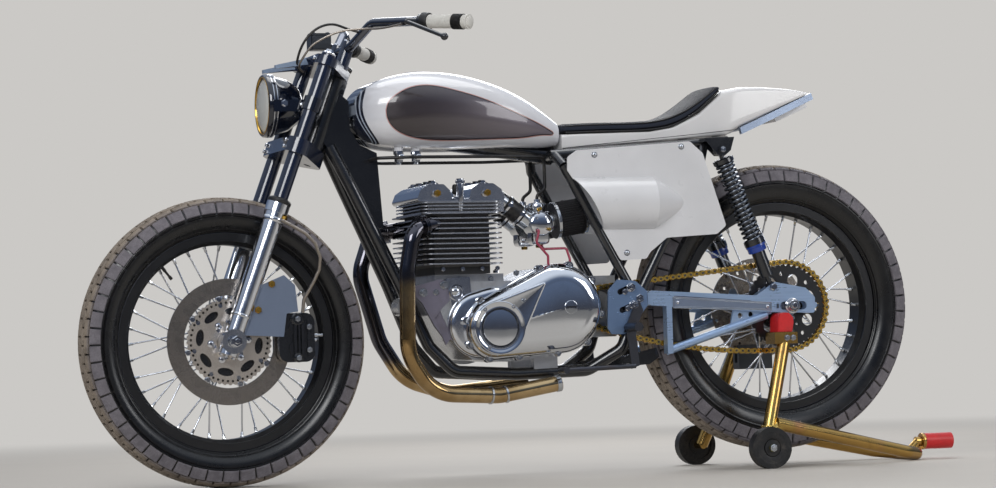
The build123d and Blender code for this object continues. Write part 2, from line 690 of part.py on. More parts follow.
def exhaust():
    """Two header pipes, each with a ribbed clamp where it leaves the fins."""
    for name, path in (("exhaust_left", HEADER_LEFT), ("exhaust_right", HEADER_RIGHT)):
        pipe = tube(path, HEADER_R, HEADER_BENDS)
        port = Vector(*path[0])
        out = (Vector(*path[1]) - port).normalized()
        for t in (41, 46, 51):
            pipe += rod(tuple(port + out * t), tuple(port + out * (t + 2.5)), 28)
        pipe += rod(tuple(port + out * 41), tuple(port + out * 53.5), 23.5)
        pipe -= tube(path, HEADER_R - 2.5, HEADER_BENDS)
        save(name, pipe)


# Bodywork
TANK = [
    # x, low z, high z, half width, corner
    (326.0, 846.0, 904.0, 60.0, 27.0),
    (352.0, 812.0, 938.0, 96.0, 52.0),
    (420.0, 795.0, 966.0, 128.0, 72.0),
    (500.0, 791.0, 975.0, 138.0, 82.0),
    (620.0, 791.0, 960.0, 128.0, 76.0),
    (745.0, 793.0, 914.0, 96.0, 56.0),
    (836.0, 799.0, 852.0, 58.0, 24.0),
]
TUNNEL_HALF = 30.0
TAPS = (428.0, 471.0)
TAP_Y = -60.0
TAP_SEAT = 786.0


def tank():
    sections = []
    for x, low, high, half, corner in TANK:
        at = Plane(origin=(x, 0, (low + high) / 2), x_dir=(0, 1, 0), z_dir=(1, 0, 0))
        sections.append(at * RectangleRounded(2 * half, high - low, corner))
    body = loft(sections)
    lift = BACKBONE_R * 1.01 + FIT
    roof = [(300, on_line(BACKBONE, 300) + lift), (860, on_line(BACKBONE, 860) + lift)]
    body -= plate([(300, 780), *roof, (860, 780)], -TUNNEL_HALF, TUNNEL_HALF)
    body += rod((500, 0, 968), (500, 0, 990), 34)
    taps = []
    for x in TAPS:
        body += rod((x, TAP_Y, TAP_SEAT), (x, TAP_Y, 806), 11)
        tap = rod((x, TAP_Y, 754), (x, TAP_Y, TAP_SEAT - FIT), 7) + rod((x, TAP_Y, 760), (x, TAP_Y, 776), 10)
        tap += disc(x, 770, TAP_Y - 16, TAP_Y, 6)
        taps.append(tap)
    save("fuel_tank", body)
    save("fuel_taps", *taps)


SEAT_PLAN = [(840, 60), (930, 80), (1050, 92), (1250, 92), (1360, 80), (1515, 52)]
TAIL_LINE = ((1300.0, 836.0), (1494.0, 918.0))
TAIL_STRIP = 18.0
LAMP_T = 12.0


def seat():
    """The white base with its hump, the pad in front of it, the strip round the tail and the lamp under it."""
    line = [(842, on_line(SEAT_LINE, 842)), SEAT_LINE[1], TAIL_LINE[0], TAIL_LINE[1]]
    top = [(1490, 926), (1440, 933), (1370, 937), (1310, 937), (1256, 928), (1190, 872), (1120, 838), (1060, 828),
           (842, 824)]
    base = plate([*line, *top], -100, 100) & from_above(SEAT_PLAN, 760, 960, 20)
    edges = base.edges().filter_by(lambda e: e.center().X > 1300 and e.center().Z > 924 and abs(e.center().Y) > 40)
    save("seat_base", base if not edges else fillet(edges, 5))
    pad = [(844, 825), (1058, 829), (1118, 839), (1186, 874), (1250, 929), (1240, 940), (1170, 888), (1108, 861),
           (1050, 852), (852, 846)]
    inset = [(x, half - 4) for x, half in SEAT_PLAN]
    save("seat_pad", plate(pad, -100, 100, 3) & from_above(inset, 760, 960, 20))
    gap = 1.1 * FIT

    def under(x, depth):
        return (x, on_line(TAIL_LINE, x) - depth - gap)

    strip = [under(1300, 0), under(1508, 0), under(1514, TAIL_STRIP), under(1304, TAIL_STRIP)]
    outer = [(1290, 87), (1360, 80), (1516, 51)]
    hollow = [(x if x < 1500 else 1500, half - 12) for x, half in outer]
    ring = from_above(outer, 760, 960) - from_above([(1280, 75), *hollow[1:]], 750, 970)
    loop = plate(strip, -100, 100) & ring
    loop += disc(1330, on_line(TAIL_LINE, 1330) - TAIL_STRIP / 2 - gap, -74, 74, 6)
    save("tail_loop", loop)
    top = TAIL_STRIP + gap
    lamp = [under(1404, top), under(1490, top), under(1494, top + LAMP_T), under(1410, top + LAMP_T)]
    save("tail_lamp", plate(lamp, -56, 56))


SIDE_PLATE_Y = REAR_FRAME_Y + REAR_TUBE_R + FIT
SIDE_PLATE_T = 3.0
SCOOP = (650.0, 68.0, 26.0)
SCOOP_X = (820.0, 1046.0, 1150.0)


def side_plates():
    """A flat plate pressed out over the air filter, the bulge tapering to a point behind."""
    points = [(828, 763), (852, 779), (1145, 799), (1178, 770), (1234, 592), (1209, 572), (1078, 565), (1034, 531),
              (1023, 515), (957, 512), (871, 665), (827, 731)]
    outer = -SIDE_PLATE_Y - SIDE_PLATE_T
    panel = plate(points, outer, -SIDE_PLATE_Y, 9)
    silhouette = plate(points, outer - 80, -SIDE_PLATE_Y + 60, 9)
    z, radius, sunk = SCOOP
    start, end, tip = SCOOP_X
    axis_y = outer + sunk

    def bulge(shrink):
        """A round bar along X that ends in a cone."""
        bar = rod((start, axis_y, z), (end, axis_y, z), radius - shrink)
        cone = Solid.make_cone(radius - shrink, 12, tip - end, Plane(origin=(end, axis_y, z), z_dir=(1, 0, 0)))
        return bar + cone

    outside = block(start, tip + 20, outer, outer - 80, 500, 780)
    cavity = bulge(SIDE_PLATE_T)
    panel = panel - cavity + (bulge(0) & outside & silhouette) - cavity
    save("side_plates", *both(panel))


# Rear suspension
SLOT_X = (1371.0, 1441.0)


def swingarm():
    """Two boxed arms with a pressed panel, an axle slot and a braced underside, round the pivot tube."""
    beam = [(1030, 402), (1030, 438), (1308, 420), (1358, 452), (1440, 436), (1464, 412), (1462, 374), (1350, 378)]
    panel = [(1092, 409), (1092, 424), (1294, 408), (1294, 398)]
    low_z = 284.0
    slot = REAR_AXLE_R + FIT
    near = ARM_Y - ARM_T / 2
    far = ARM_Y + ARM_T / 2
    arms = []
    for s in (-1, 1):
        arm = plate(beam, s * near, s * far, 6)
        arm -= plate(panel, s * (far - 3), s * (far + 1), 3)
        arm -= extrude(side(s * ARM_Y + ARM_T) * hull_of((SLOT_X[0] + slot, REAR_AXLE_Z, slot),
                                                        (SLOT_X[1] - slot, REAR_AXLE_Z, slot)), 2 * ARM_T)
        arm += block(1072, 1086, s * near, s * far, low_z, 405)
        arm += rod((1074, s * ARM_Y, low_z + 6), (1338, s * ARM_Y, 372), 10)
        arm -= block(1322, 1382, s * (ARM_Y - 7.5), s * (ARM_Y + 7.5), 424, 460)
        web = plate([(1240, 344), (1252, 392), (1350, 384), (1350, 374)], s * (ARM_Y - 4), s * (ARM_Y + 4))
        for x, z in ((1268, 372), (1296, 374)):
            web -= disc(x, z, s * (ARM_Y - 6), s * (ARM_Y + 6), 7)
        arm += web
        arm += block(1000, 1026, s * 70, s * 104, 404, 434) + block(1024, 1042, s * 70, s * far, 404, 434)
        arm += disc(1462, REAR_AXLE_Z, s * (ARM_Y - 9), s * (ARM_Y + 9), 8)
        arms.append(arm)
    swing = arms[0] + arms[1] + disc(*PIVOT, FIT - PIVOT_HALF, PIVOT_HALF - FIT, PIVOT_TUBE_R)
    swing -= disc(*PIVOT, -PIVOT_HALF, PIVOT_HALF, PIVOT_BOLT_R + FIT)
    save("swingarm", swing)


SPRING = (34.0, 234.0)
COIL_R = 20.5
WIRE_R = 3.6
TIGHT_COILS = 8
OPEN_COILS = 8


def spring(length):
    """Turns of wire as half-round ribs on a thin sleeve, close together at the start, then open."""
    first = 2 * WIRE_R
    tight = 2.6 * WIRE_R
    start = first + TIGHT_COILS * tight
    pitch = (length - first - start) / OPEN_COILS
    turns = [first + i * tight for i in range(TIGHT_COILS)]
    turns += [start + i * pitch for i in range(OPEN_COILS + 1)]
    sleeve = COIL_R - WIRE_R / 2
    edges = []
    at = (sleeve, 0)
    for t in turns:
        edges.append(Line(at, (sleeve, t - WIRE_R)))
        edges.append(ThreePointArc((sleeve, t - WIRE_R), (COIL_R + WIRE_R, t), (sleeve, t + WIRE_R)))
        at = (sleeve, t + WIRE_R)
    edges.append(Line(at, (sleeve, length)))
    edges.append(Line((sleeve, length), (sleeve - 2, length)))
    edges.append(Line((sleeve - 2, length), (sleeve - 2, 0)))
    edges.append(Line((sleeve - 2, 0), (sleeve, 0)))
    return revolve(Plane.XZ * make_face(edges), Axis.Z)


def shocks():
    """Dampers on their eyes, each inside a spring held between two cups."""
    top = Vector(SHOCK_TOP[0], 0, SHOCK_TOP[1])
    foot = Vector(SHOCK_FOOT[0], 0, SHOCK_FOOT[1])
    along = (foot - top).normalized()
    length = (foot - top).length
    start, end = SPRING

    def at(t, y):
        p = top + along * t
        return (p.X, y, p.Z)

    coil = spring(end - start - 2 * FIT)
    dampers = []
    springs = []
    for y in (-ARM_Y, ARM_Y):
        body = rod(at(0, y), at(length, y), 6) + rod(at(end + 6, y), at(length - 30, y), 17)
        body += rod(at(start - 10, y), at(start, y), 26) + rod(at(end, y), at(end + 14, y), 26)
        body += disc(*SHOCK_TOP, y - SHOCK_EYE, y + SHOCK_EYE, 15)
        body += disc(*SHOCK_FOOT, y - 7, y + 7, 13)
        body -= disc(*SHOCK_TOP, y - 20, y + 20, SHOCK_PIN_R + FIT)
        dampers.append(body)
        springs.append(Plane(origin=at(start + FIT, y), z_dir=along) * coil)
    save("shock_dampers", *dampers)
    save("shock_springs", *springs)


LINK_HIGH = 6.8
LINK_WAIST = 4.2


def chain_pins():
    """The pins' places one pitch apart: round the rear sprocket, along the top run, round the front one
    and back along the lower run, which sags."""
    rear = Vector(WHEELBASE, REAR_AXLE_Z)
    front = Vector(*GEARBOX)
    outline = hull_of((rear.X, rear.Y, REAR_PITCH_R), (front.X, front.Y, FRONT_PITCH_R))
    edges = outline.face().outer_wire().edges()
    straight = sorted(edges.filter_by(GeomType.LINE), key=lambda e: e.center().Y)
    arcs = edges.filter_by(GeomType.CIRCLE)
    low = straight[0]
    a, b = sorted((low @ 0, low @ 1), key=lambda p: p.X)
    sagging = ThreePointArc(a, (a + b) / 2 - Vector(0, CHAIN_SAG), b)
    loop = Wire([*arcs, straight[1], *sagging.edges()])
    count = round(loop.length / CHAIN_PITCH)
    return [loop @ (i / count) for i in range(count)]


def chain():
    """A closed loop: two rows of waisted link plates with six-sided rollers between them."""
    pins = chain_pins()
    middle = sum(pins, Vector(0, 0)) / len(pins)
    outer = []
    inner = []
    rollers = []
    half = CHAIN_W / 2
    for i, pin in enumerate(pins):
        after = pins[(i + 1) % len(pins)]
        before = pins[i - 1]
        for place, run, high in ((pin, after - before, LINK_HIGH), ((pin + after) / 2, after - pin, LINK_WAIST)):
            away = Vector(-run.Y, run.X).normalized()
            if away.dot(place - middle) < 0:
                away = -away
            outer.append(tuple(place + away * high)[:2])
            inner.append(tuple(place - away * high)[:2])
        turn = Vector(1, 0).get_signed_angle(after - before)
        hexagon = Pos(pin.X, pin.Y) * Rot(0, 0, turn + 90) * RegularPolygon(ROLLER_R, 6)
        rollers.append(extrude(side(CHAIN_Y + half - LINK_T + 0.1) * hexagon, CHAIN_W - 2 * LINK_T + 0.2))
    row = make_face(Polyline(*outer, close=True)) - make_face(Polyline(*inner, close=True))
    near = extrude(side(CHAIN_Y + half) * row, LINK_T)
    far = extrude(side(CHAIN_Y - half + LINK_T) * row, LINK_T)
    save("chain", near.fuse(far, *rollers))


def rear_axle():
    face = ARM_Y + ARM_T / 2 + FIT
    axle = disc(WHEELBASE, REAR_AXLE_Z, -150, 150, REAR_AXLE_R)
    axle += disc(WHEELBASE, REAR_AXLE_Z, -face - 12, -face, 16) + disc(WHEELBASE, REAR_AXLE_Z, face, face + 12, 16)
    axle -= disc(WHEELBASE, REAR_AXLE_Z, -160, 160, REAR_AXLE_BORE)
    save("rear_axle", axle)


def rear_brake():
    """The caliper under the disc on a carrier plate round the axle."""
    face = ARM_Y - ARM_T / 2 - 3.5
    x, z = WHEELBASE, REAR_AXLE_Z
    low = z - REAR_DISC_R - 28
    body = block(x - 62, x + 28, REAR_DISC_Y - 20, face, low, low + 60)
    body -= block(x - 82, x + 48, REAR_DISC_Y - 8, REAR_DISC_Y + 8, low + 16, low + 70)
    body += plate([(x - 52, low + 50), (x + 18, low + 50), (x + 20, z + 7), (x - 20, z + 7)], face - 7, face, 8)
    body += disc(WHEELBASE, REAR_AXLE_Z, face - 7, face, 26)
    body -= disc(WHEELBASE, REAR_AXLE_Z, face - 12, face + 6, REAR_AXLE_R + FIT)
    save("rear_caliper", body)


def footpegs():
    near = ENGINE_PLATE_Y + ENGINE_PLATE_T + FIT
    pegs = []
    for s in (-1, 1):
        peg = disc(968, 350, s * near, s * (near + 74), 11)
        peg += plate([(955, 340), (980, 332), (1006, 390), (998, 410), (984, 404)], s * near, s * (near + 6))
        pedal_y = near + 12
        peg += plate([(957, 352), (979, 352), (988, 258), (968, 250)], s * pedal_y, s * (pedal_y + 6))
        peg += rod((978, s * (pedal_y + 3), 257), (786, s * (pedal_y + 3), 251), 6)
        peg += disc(790, 251, s * (pedal_y - 2), s * (pedal_y + 40), 8)
        pegs.append(peg)
    save("footpegs", *pegs)


# Paddock stand
def stand():
    half = STAND_TRACK / 2
    low = STAND_TUBE_R
    bend_y = 196.0
    x = STAND_WHEEL_X
    end = HANDLE_END - 122
    path = [(x + 35, -bend_y, 108), (end - 46, -96, low + 6), (end, -60, low), (end, 60, low),
            (end - 46, 96, low + 6), (x + 35, bend_y, 108)]
    arms = tube(path, STAND_TUBE_R, 30)
    for s in (-1, 1):
        corner = (x + 17, s * bend_y, 88)
        arms += rod(corner, (x + 83, s * 152, 300), STAND_TUBE_R)
        arms += rod(corner, (x, s * 200, STAND_WHEEL_R), STAND_TUBE_R)
        arms += disc(STAND_WHEEL_X, STAND_WHEEL_R, s * 186, s * (half + 16), STAND_AXLE_R)
        arms += rod(corner, (x + 55, s * 191, 104), STAND_TUBE_R)
        arms += block(x + 55, x + 115, s * 108, s * 166, 300, 328)
    lug_z = 44.0
    grip_x = end + 42
    arms += rod((end + 2, 0, low), (end + 32, 0, lug_z), 11) + rod((end + 24, 0, lug_z), (grip_x - FIT, 0, lug_z), 12)
    save("stand_frame", arms)
    for s, name in ((-1, "stand_wheel_left"), (1, "stand_wheel_right")):
        wheel = disc(STAND_WHEEL_X, STAND_WHEEL_R, s * (half - 16), s * (half - 16 + STAND_WHEEL_W), STAND_WHEEL_R)
        for y in (half - 18, half + 10):
            wheel -= disc(STAND_WHEEL_X, STAND_WHEEL_R, s * y, s * (y + 6), STAND_WHEEL_R - 12)
        wheel += disc(STAND_WHEEL_X, STAND_WHEEL_R, s * (half - 16), s * (half - 16 + STAND_WHEEL_W), 20)
        wheel -= disc(STAND_WHEEL_X, STAND_WHEEL_R, s * (half - 20), s * (half + 20), STAND_AXLE_R + RUNNING)
        save(name, wheel)
    pads = [block(x + 65, x + 109, s * 112, s * 160, 328 + FIT, 376) for s in (-1, 1)]
    save("stand_pads", *pads)
    save("stand_handle", rod((grip_x, 0, lug_z), (HANDLE_END, 0, lug_z), HANDLE_R))


CABLE_R = 4.0
LINE_R = 3.0


def cables():
    """A black cable under the tank from the head to each carburettor, and two drain hoses."""
    low = CARB_Z + 48 + FIT
    throttle = [(368, -26 - FIT, 768), (368, -80, 768), (440, -112, 768), (690, -104, 768), (797, -INTAKE_Y, 768),
                (797, -INTAKE_Y, 692), (776, -INTAKE_Y, 676), (776, -INTAKE_Y, low)]
    save("control_cables", *both(tube(throttle, CABLE_R, 14)))
    face = INTAKE_Y + 26 + FIT
    drains = [
        tube([(762, -face, 590), (762, -104, 590), (754, -104, 560), (785, -97, 528), (785, -97, 496)], LINE_R, 8),
        tube([(785, -INTAKE_Y, CARB_Z - 44 - FIT), (785, -INTAKE_Y, 546), (838, -80, 546), (842, -92, 520),
              (842, -92, 474)], LINE_R, 8),
    ]
    save("drain_hoses", *drains)


def brake_hose():
    route = [
        (117.0, -133.0, 622.0),
        (143.0, -132.0, 608.0),
        (175.0, -130.0, 590.0),
        (199.0, -128.0, 566.0),
        (211.0, -124.0, 534.0),
        (209.0, -118.0, 505.0),
        (197.0, -112.0, 478.0),
        (175.0, -98.0, 436.0),
        (172.0, -96.0, CALIPER_Z[1] + FIT),
    ]
    save("brake_hose", tube(route, 4, 14))


os.makedirs("parts", exist_ok=True)
front_wheel()
rear_wheel()
yokes()
fork_legs()
controls()
headlamp()
front_brake()
frame()
rear_frame()
crankcase()
primary_cover()
barrel()
head()
engine_plates()
carburettors()
exhaust()
tank()
seat()
side_plates()
swingarm()
shocks()
chain()
rear_axle()
rear_brake()
footpegs()
stand()
cables()
brake_hose()
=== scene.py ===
from math import acos, cos, pi, radians, sin

import bmesh
import bpy
import numpy as np
from mathutils import Matrix, Vector
from mathutils.geometry import tessellate_polygon


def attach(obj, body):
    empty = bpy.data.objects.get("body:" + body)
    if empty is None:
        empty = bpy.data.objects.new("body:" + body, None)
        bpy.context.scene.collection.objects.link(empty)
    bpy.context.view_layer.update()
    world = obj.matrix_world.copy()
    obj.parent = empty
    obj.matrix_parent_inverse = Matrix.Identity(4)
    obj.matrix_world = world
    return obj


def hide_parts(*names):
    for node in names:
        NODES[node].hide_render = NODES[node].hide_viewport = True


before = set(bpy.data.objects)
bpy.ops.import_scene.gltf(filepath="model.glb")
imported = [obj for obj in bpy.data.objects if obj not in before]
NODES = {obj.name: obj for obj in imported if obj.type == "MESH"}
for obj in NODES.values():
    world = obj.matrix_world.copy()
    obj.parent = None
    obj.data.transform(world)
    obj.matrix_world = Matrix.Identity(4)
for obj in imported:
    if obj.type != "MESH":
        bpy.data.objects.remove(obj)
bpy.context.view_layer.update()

# The frame's origin, and the places that the part's source names too
X_MID = 771.0
FRONT_AXLE = (0.0, 0.0, 342.0)
REAR_AXLE = (1402.0, 0.0, 393.0)
AXLES = {"front": FRONT_AXLE, "rear": REAR_AXLE}
RIM_WELL_R = 230.0
VALVE_TURN = radians(128)
RAKE = 20.6
FORK_Y = 100.0
LOWER_YOKE = 484.0
TOP_YOKE = 698.0
CHAIN_Y = -92.0
CHAIN_PITCH = 15.875
GEARBOX = (905.0, 402.0)
CRANK = (634.0, 357.0)
CLUTCH = (797.0, 400.0)
ROCKER_X = (505, 630)
SHOCK_TOP = (1228.0, 778.0)
SHOCK_FOOT = (1354.0, 440.0)
LAMP_AT = (118.0, 0.0, 900.0)
FILLER_X = 500.0
FILTER_TILT = radians(9)
FRONT_TEETH = 18
REAR_TEETH = 43

LEFT = (0, -1, 0)
RIGHT = (0, 1, 0)
UP = (0, 0, 1)
BACK = (1, 0, 0)


# Camera at the photograph's place
LENS = 115.57
YAW = 18.289
PITCH = 2.147
ROLL = -1.7316
CAMERA_AT = (-2.5135, -7.3634, 0.2715)


def camera():
    """The camera where the photograph was taken, turned by YAW, PITCH and ROLL degrees."""
    psi, theta, rho = radians(YAW), radians(PITCH), radians(ROLL)
    forward = Vector((sin(psi) * cos(theta), cos(psi) * cos(theta), sin(theta)))
    right = Vector((cos(psi), -sin(psi), 0))
    up = right.cross(forward)
    right, up = cos(rho) * right + sin(rho) * up, cos(rho) * up - sin(rho) * right
    data = bpy.data.cameras.new("camera")
    data.lens = LENS
    data.sensor_width = 36
    data.sensor_fit = "HORIZONTAL"
    data.clip_end = 200
    seen = bpy.data.objects.new("camera", data)
    bpy.context.scene.collection.objects.link(seen)
    turn = Matrix((right, up, -forward)).transposed()
    seen.matrix_world = Matrix.Translation(CAMERA_AT) @ turn.to_4x4()
    bpy.context.scene.camera = seen


camera()


# Shader nodes as sums
class Wire:
    """A node's output. Sums, products and powers of it add Math nodes to its tree."""

    def __init__(self, nodes, socket):
        self.nodes = nodes
        self.socket = socket

    def __add__(self, other):
        return self.nodes.maths("ADD", self, other)

    __radd__ = __add__

    def __sub__(self, other):
        return self.nodes.maths("SUBTRACT", self, other)

    def __rsub__(self, other):
        return self.nodes.maths("SUBTRACT", other, self)

    def __mul__(self, other):
        return self.nodes.maths("MULTIPLY", self, other)

    __rmul__ = __mul__

    def __pow__(self, other):
        return self.nodes.maths("POWER", self, other)

    def size(self):
        return self.nodes.maths("ABSOLUTE", self)

    def above(self, least):
        return self.nodes.maths("MAXIMUM", self, least)

    def wave(self):
        return self.nodes.maths("SINE", self)

    def rise(self, low, high):
        """0 below low, 1 above high, smooth between; the other way round where low is the larger."""
        ends = {"From Min": low, "From Max": high}
        return self.nodes.node("MapRange", {"interpolation_type": "SMOOTHSTEP"}, {"Value": self, **ends})


class Nodes:
    """A tree of shader nodes."""

    def __init__(self, tree):
        self.tree = tree

    def node(self, kind, settings=None, values=None, output=0):
        made = self.tree.nodes.new("ShaderNode" + kind)
        for key, value in (settings or {}).items():
            setattr(made, key, value)
        for key, value in (values or {}).items():
            self.feed(made.inputs[key], value)
        return Wire(self, made.outputs[output])

    def feed(self, socket, value):
        if isinstance(value, Wire):
            self.tree.links.new(value.socket, socket)
        else:
            socket.default_value = value

    def maths(self, operation, *values):
        return self.node("Math", {"operation": operation}, dict(enumerate(values)))

    def mix(self, factor, a, b):
        return self.node("Mix", {"data_type": "RGBA"}, {0: factor, 6: a, 7: b}, 2)

    def part(self, vector, which):
        """One of a vector's three numbers."""
        return self.node("SeparateXYZ", values={0: vector}, output=which)


def ink(code, light=1.0):
    """A colour written as six hexadecimal digits, as the shader's own numbers."""
    parts = [int(code[i : i + 2], 16) / 255 for i in (0, 2, 4)]
    return (*(light * (c / 12.92 if c <= 0.04045 else ((c + 0.055) / 1.055) ** 2.4) for c in parts), 1.0)


class Finish(Nodes):
    """A material: a principled shader and the nodes that vary it over the surface."""

    def __init__(self, name, **constants):
        self.material = bpy.data.materials.new(name)
        self.material.use_nodes = True
        super().__init__(self.material.node_tree)
        self.shader = self.tree.nodes["Principled BSDF"]
        self.where = self.node("TexCoord", output=3)
        for key, value in constants.items():
            self.set(key.replace("_", " "), value)

    def set(self, key, value):
        self.feed(self.shader.inputs[key], value)

    def stretched(self, scale):
        """The object's own coordinates, drawn out along the axes with the smaller numbers."""
        return self.node("Mapping", values={"Vector": self.where, "Scale": scale})

    def noise(self, scale, detail=3.0, rough=0.55, vector=None):
        values = {"Vector": vector or self.where, "Scale": scale, "Detail": detail, "Roughness": rough}
        return self.node("TexNoise", values=values)

    def cells(self, scale):
        return self.node("TexVoronoi", values={"Vector": self.where, "Scale": scale})

    def axis(self, which):
        """One coordinate in millimetres of the source's own places."""
        value = self.part(self.where, which) * 1000
        return value + X_MID if which == 0 else value

    def facing(self, which):
        """How far the surface faces along an axis, from -1 to 1."""
        return self.part(self.node("NewGeometry", output=1), which)

    def dressed(self, colour, rough, height, depth):
        """This finish with its colour, roughness and bump; depth is in metres for a height from 0 to 1."""
        self.set("Base Color", colour)
        self.set("Roughness", rough)
        self.set("Normal", self.node("Bump", values={"Height": height, "Distance": depth}))
        return self

    def dust(self, colour, tint, amount):
        """Colour with a pale dust that lies on what faces up, patchy."""
        lying = self.facing(2).rise(0.1, 1.0) * self.noise(22, 5).rise(0.35, 0.75) * amount
        return self.mix(lying, colour, tint)


def paint(name, code, rough=0.28, coat=0.7, peel=0.0004, shade=0.9, dirt=0.25, dirt_code="6b5f52"):
    """Sprayed paint: slow changes of tone, fine orange peel, a clear coat, and a little dust."""
    f = Finish(name, Coat_Roughness=0.06)
    slow = f.noise(7, 3).rise(0.3, 0.7)
    tone = f.mix(slow, ink(code, shade), ink(code))
    specks = f.noise(420, 2).rise(0.66, 0.74) * f.noise(14, 3).rise(0.5, 0.7) * dirt
    f.set("Coat Weight", coat - f.noise(18, 3).rise(0.45, 0.8) * 0.25)
    return f.dressed(f.dust(f.mix(specks, tone, ink(dirt_code)), ink(dirt_code), dirt * 0.5),
                     f.noise(30, 4) * 0.16 + rough - 0.08, f.noise(260, 2), peel)


def metal(name, code, rough=0.2, grain=900, drawn=(1, 1, 1), depth=0.00003, stain=0.25, stain_code="5a5048",
          haze=0.12, bare=1.0):
    """Bare or plated metal: fine grain drawn along an axis, hazy patches, and stains in the slow noise."""
    f = Finish(name, Metallic=bare)
    slow = f.noise(16, 5, 0.6)
    streak = f.noise(grain, 3, 0.6, f.stretched(drawn))
    stains = slow.rise(0.52, 0.78) * stain
    tone = f.mix(streak, ink(code, 0.86), ink(code))
    gloss = f.noise(45, 5) * haze + streak * haze * 0.6 + rough - haze * 0.7
    return f.dressed(f.mix(stains, tone, ink(stain_code)), gloss, streak, depth)


def rubber(name, code, dust_code="8d8377", dust=0.5, rough=0.62, scale=380, depth=0.0003):
    """Rubber: a close matt grain, scuffs, and dust that clings in patches."""
    f = Finish(name)
    patch = f.noise(26, 6, 0.65)
    scuff = f.noise(150, 3, 0.6, f.stretched((1, 3, 1)))
    worn = patch.rise(0.4, 0.72) * scuff.rise(0.3, 0.7) * dust
    tone = f.mix(scuff, ink(code, 0.8), ink(code, 1.2))
    grain = f.noise(scale, 4) + scuff * 0.4
    return f.dressed(f.mix(worn, tone, ink(dust_code)), patch * 0.25 + rough - 0.1, grain, depth)


def cast(name, code, rough=0.38, dirt=0.55):
    """Cast light alloy: a sandy skin, darker with grime in the slow patches and with painted shade on what
    faces down.
    """
    f = Finish(name, Metallic=0.62)
    skin = f.noise(520, 3, 0.6)
    patch = f.noise(24, 5, 0.65)
    # Painted shade: what faces down is darkened.
    under = f.facing(2).rise(0.25, -0.7)
    grime_and_shade = (patch.rise(0.42, 0.75) * 0.7 + under * 0.5) * dirt
    tone = f.mix(skin.rise(0.3, 0.7), ink(code, 0.9), ink(code))
    gloss = patch * 0.18 + skin * 0.08 + rough - 0.12
    return f.dressed(f.mix(grime_and_shade, tone, ink("3a3028")), gloss, skin, 0.00008)


def heated():
    """Plated header pipe: straw to bronze low down, chrome near the ports with a painted dark reflection
    (further down the right pipe, as painted shade), and road film."""
    f = Finish("heated_pipe", Metallic=1.0)
    # Painted reflection and shade: the dark tone near the ports, reaching further down the right pipe.
    near = (f.axis(2) + f.axis(1).rise(-5, 5) * 190).rise(452, 486)
    slow = f.noise(9, 4)
    base = f.mix(slow.rise(0.3, 0.7), ink("a08358"), ink("cbb084"))
    base = f.mix(near * 0.94, base, ink("50535e"))
    film = f.noise(60, 5).rise(0.55, 0.8) * 0.35
    return f.dressed(f.mix(film, base, ink("4a3a2a")), f.noise(70, 5) * 0.12 + 0.05, f.noise(500, 2), 0.00002)


def finned(name, middle, half_x, half_y, corner, top, foot):
    """Finned alloy: bright along the fins' edges, brown painted shade in the gaps between them, black below
    the foot. The depth under the fins' outline is corner - |(|x| - half_x + corner, |y| - half_y + corner)|,
    kept above 0."""
    f = Finish(name)
    skin = f.noise(520, 3, 0.6)
    patch = f.noise(26, 5, 0.65)
    beyond_x = ((f.axis(0) - middle).size() - (half_x - corner)).above(0)
    beyond_y = (f.axis(1).size() - (half_y - corner)).above(0)
    depth = corner - (beyond_x * beyond_x + beyond_y * beyond_y) ** 0.5
    z = f.axis(2)
    # Painted shade in the gaps between the fins, by depth under their outline.
    deep = depth.rise(4, 18) * z.rise(top + 1, top - 1)
    smooth = z.rise(top - 2, top + 4)
    # Painted shade: what faces down is darkened.
    under = f.facing(2).rise(0.25, -0.7)
    grime_and_shade = (patch.rise(0.42, 0.75) * 0.35 + under * 0.3).rise(0, 1) * (1 - smooth * 0.7)
    tone = f.mix(skin.rise(0.3, 0.7), ink("d2d4d9"), ink("e6e7ea"))
    tone = f.mix(grime_and_shade * 0.7, tone, ink("4a4038"))
    tone = f.mix(deep * 0.9, tone, ink("2e2825"))
    low = z.rise(foot + 1, foot - 1)
    f.set("Metallic", (1 - deep * 0.8) * (1 - low * 0.9))
    gloss = patch * 0.14 + skin * 0.06 + deep * 0.3 + 0.16 - smooth * 0.08
    return f.dressed(f.mix(low, tone, ink("141416")), gloss, skin * (1 - smooth * 0.8), 0.0001)


def tyre_rubber():
    """The carcass: black, with a low sheen on the wall and a little dust."""
    f = Finish("tyre_wall", Specular_IOR_Level=0.6)
    patch = f.noise(30, 6, 0.6)
    return f.dressed(f.mix(patch.rise(0.5, 0.85) * 0.5, ink("08080a"), ink("201e1d")), patch * 0.22 + 0.18,
                     f.noise(600, 3), 0.0001)


def tread_rubber():
    """The blocks: tan dust on top, greyer towards the wall, scrubbed across, dark in the scratches."""
    f = Finish("tyre_tread", Specular_IOR_Level=0.3)
    patch = f.noise(34, 6, 0.65)
    scrub = f.noise(240, 4, 0.7, f.stretched((1, 4, 1)))
    wall = f.axis(1).size().rise(42, 54)
    dust = f.mix(wall, ink("a3978a"), ink("837f86"))
    base = f.mix(wall, ink("5d554f"), ink("4d4b51"))
    return f.dressed(f.mix(patch.rise(0.3, 0.62) * scrub.rise(0.2, 0.7) * 0.6 + 0.35, base, dust),
                     patch * 0.2 + 0.62, scrub + f.noise(700, 2) * 0.5, 0.0006)


def disc_steel(name, axle):
    """A ground brake disc: fine rings round the axle, and a brown worn band."""
    f = Finish(name, Metallic=1.0)
    x = f.axis(0) - axle[0]
    z = f.axis(2) - axle[2]
    out = (x * x + z * z) ** 0.5
    rings = (out * 4.0).wave() * 0.5 + 0.5
    slow = f.noise(30, 4)
    band = f.mix(rings * slow, ink("8d867f"), ink("c6beb4"))
    return f.dressed(f.mix(slow.rise(0.45, 0.8) * 0.3, band, ink("6a5a4e")),
                     rings * 0.08 + slow * 0.12 + 0.14, rings, 0.00004)


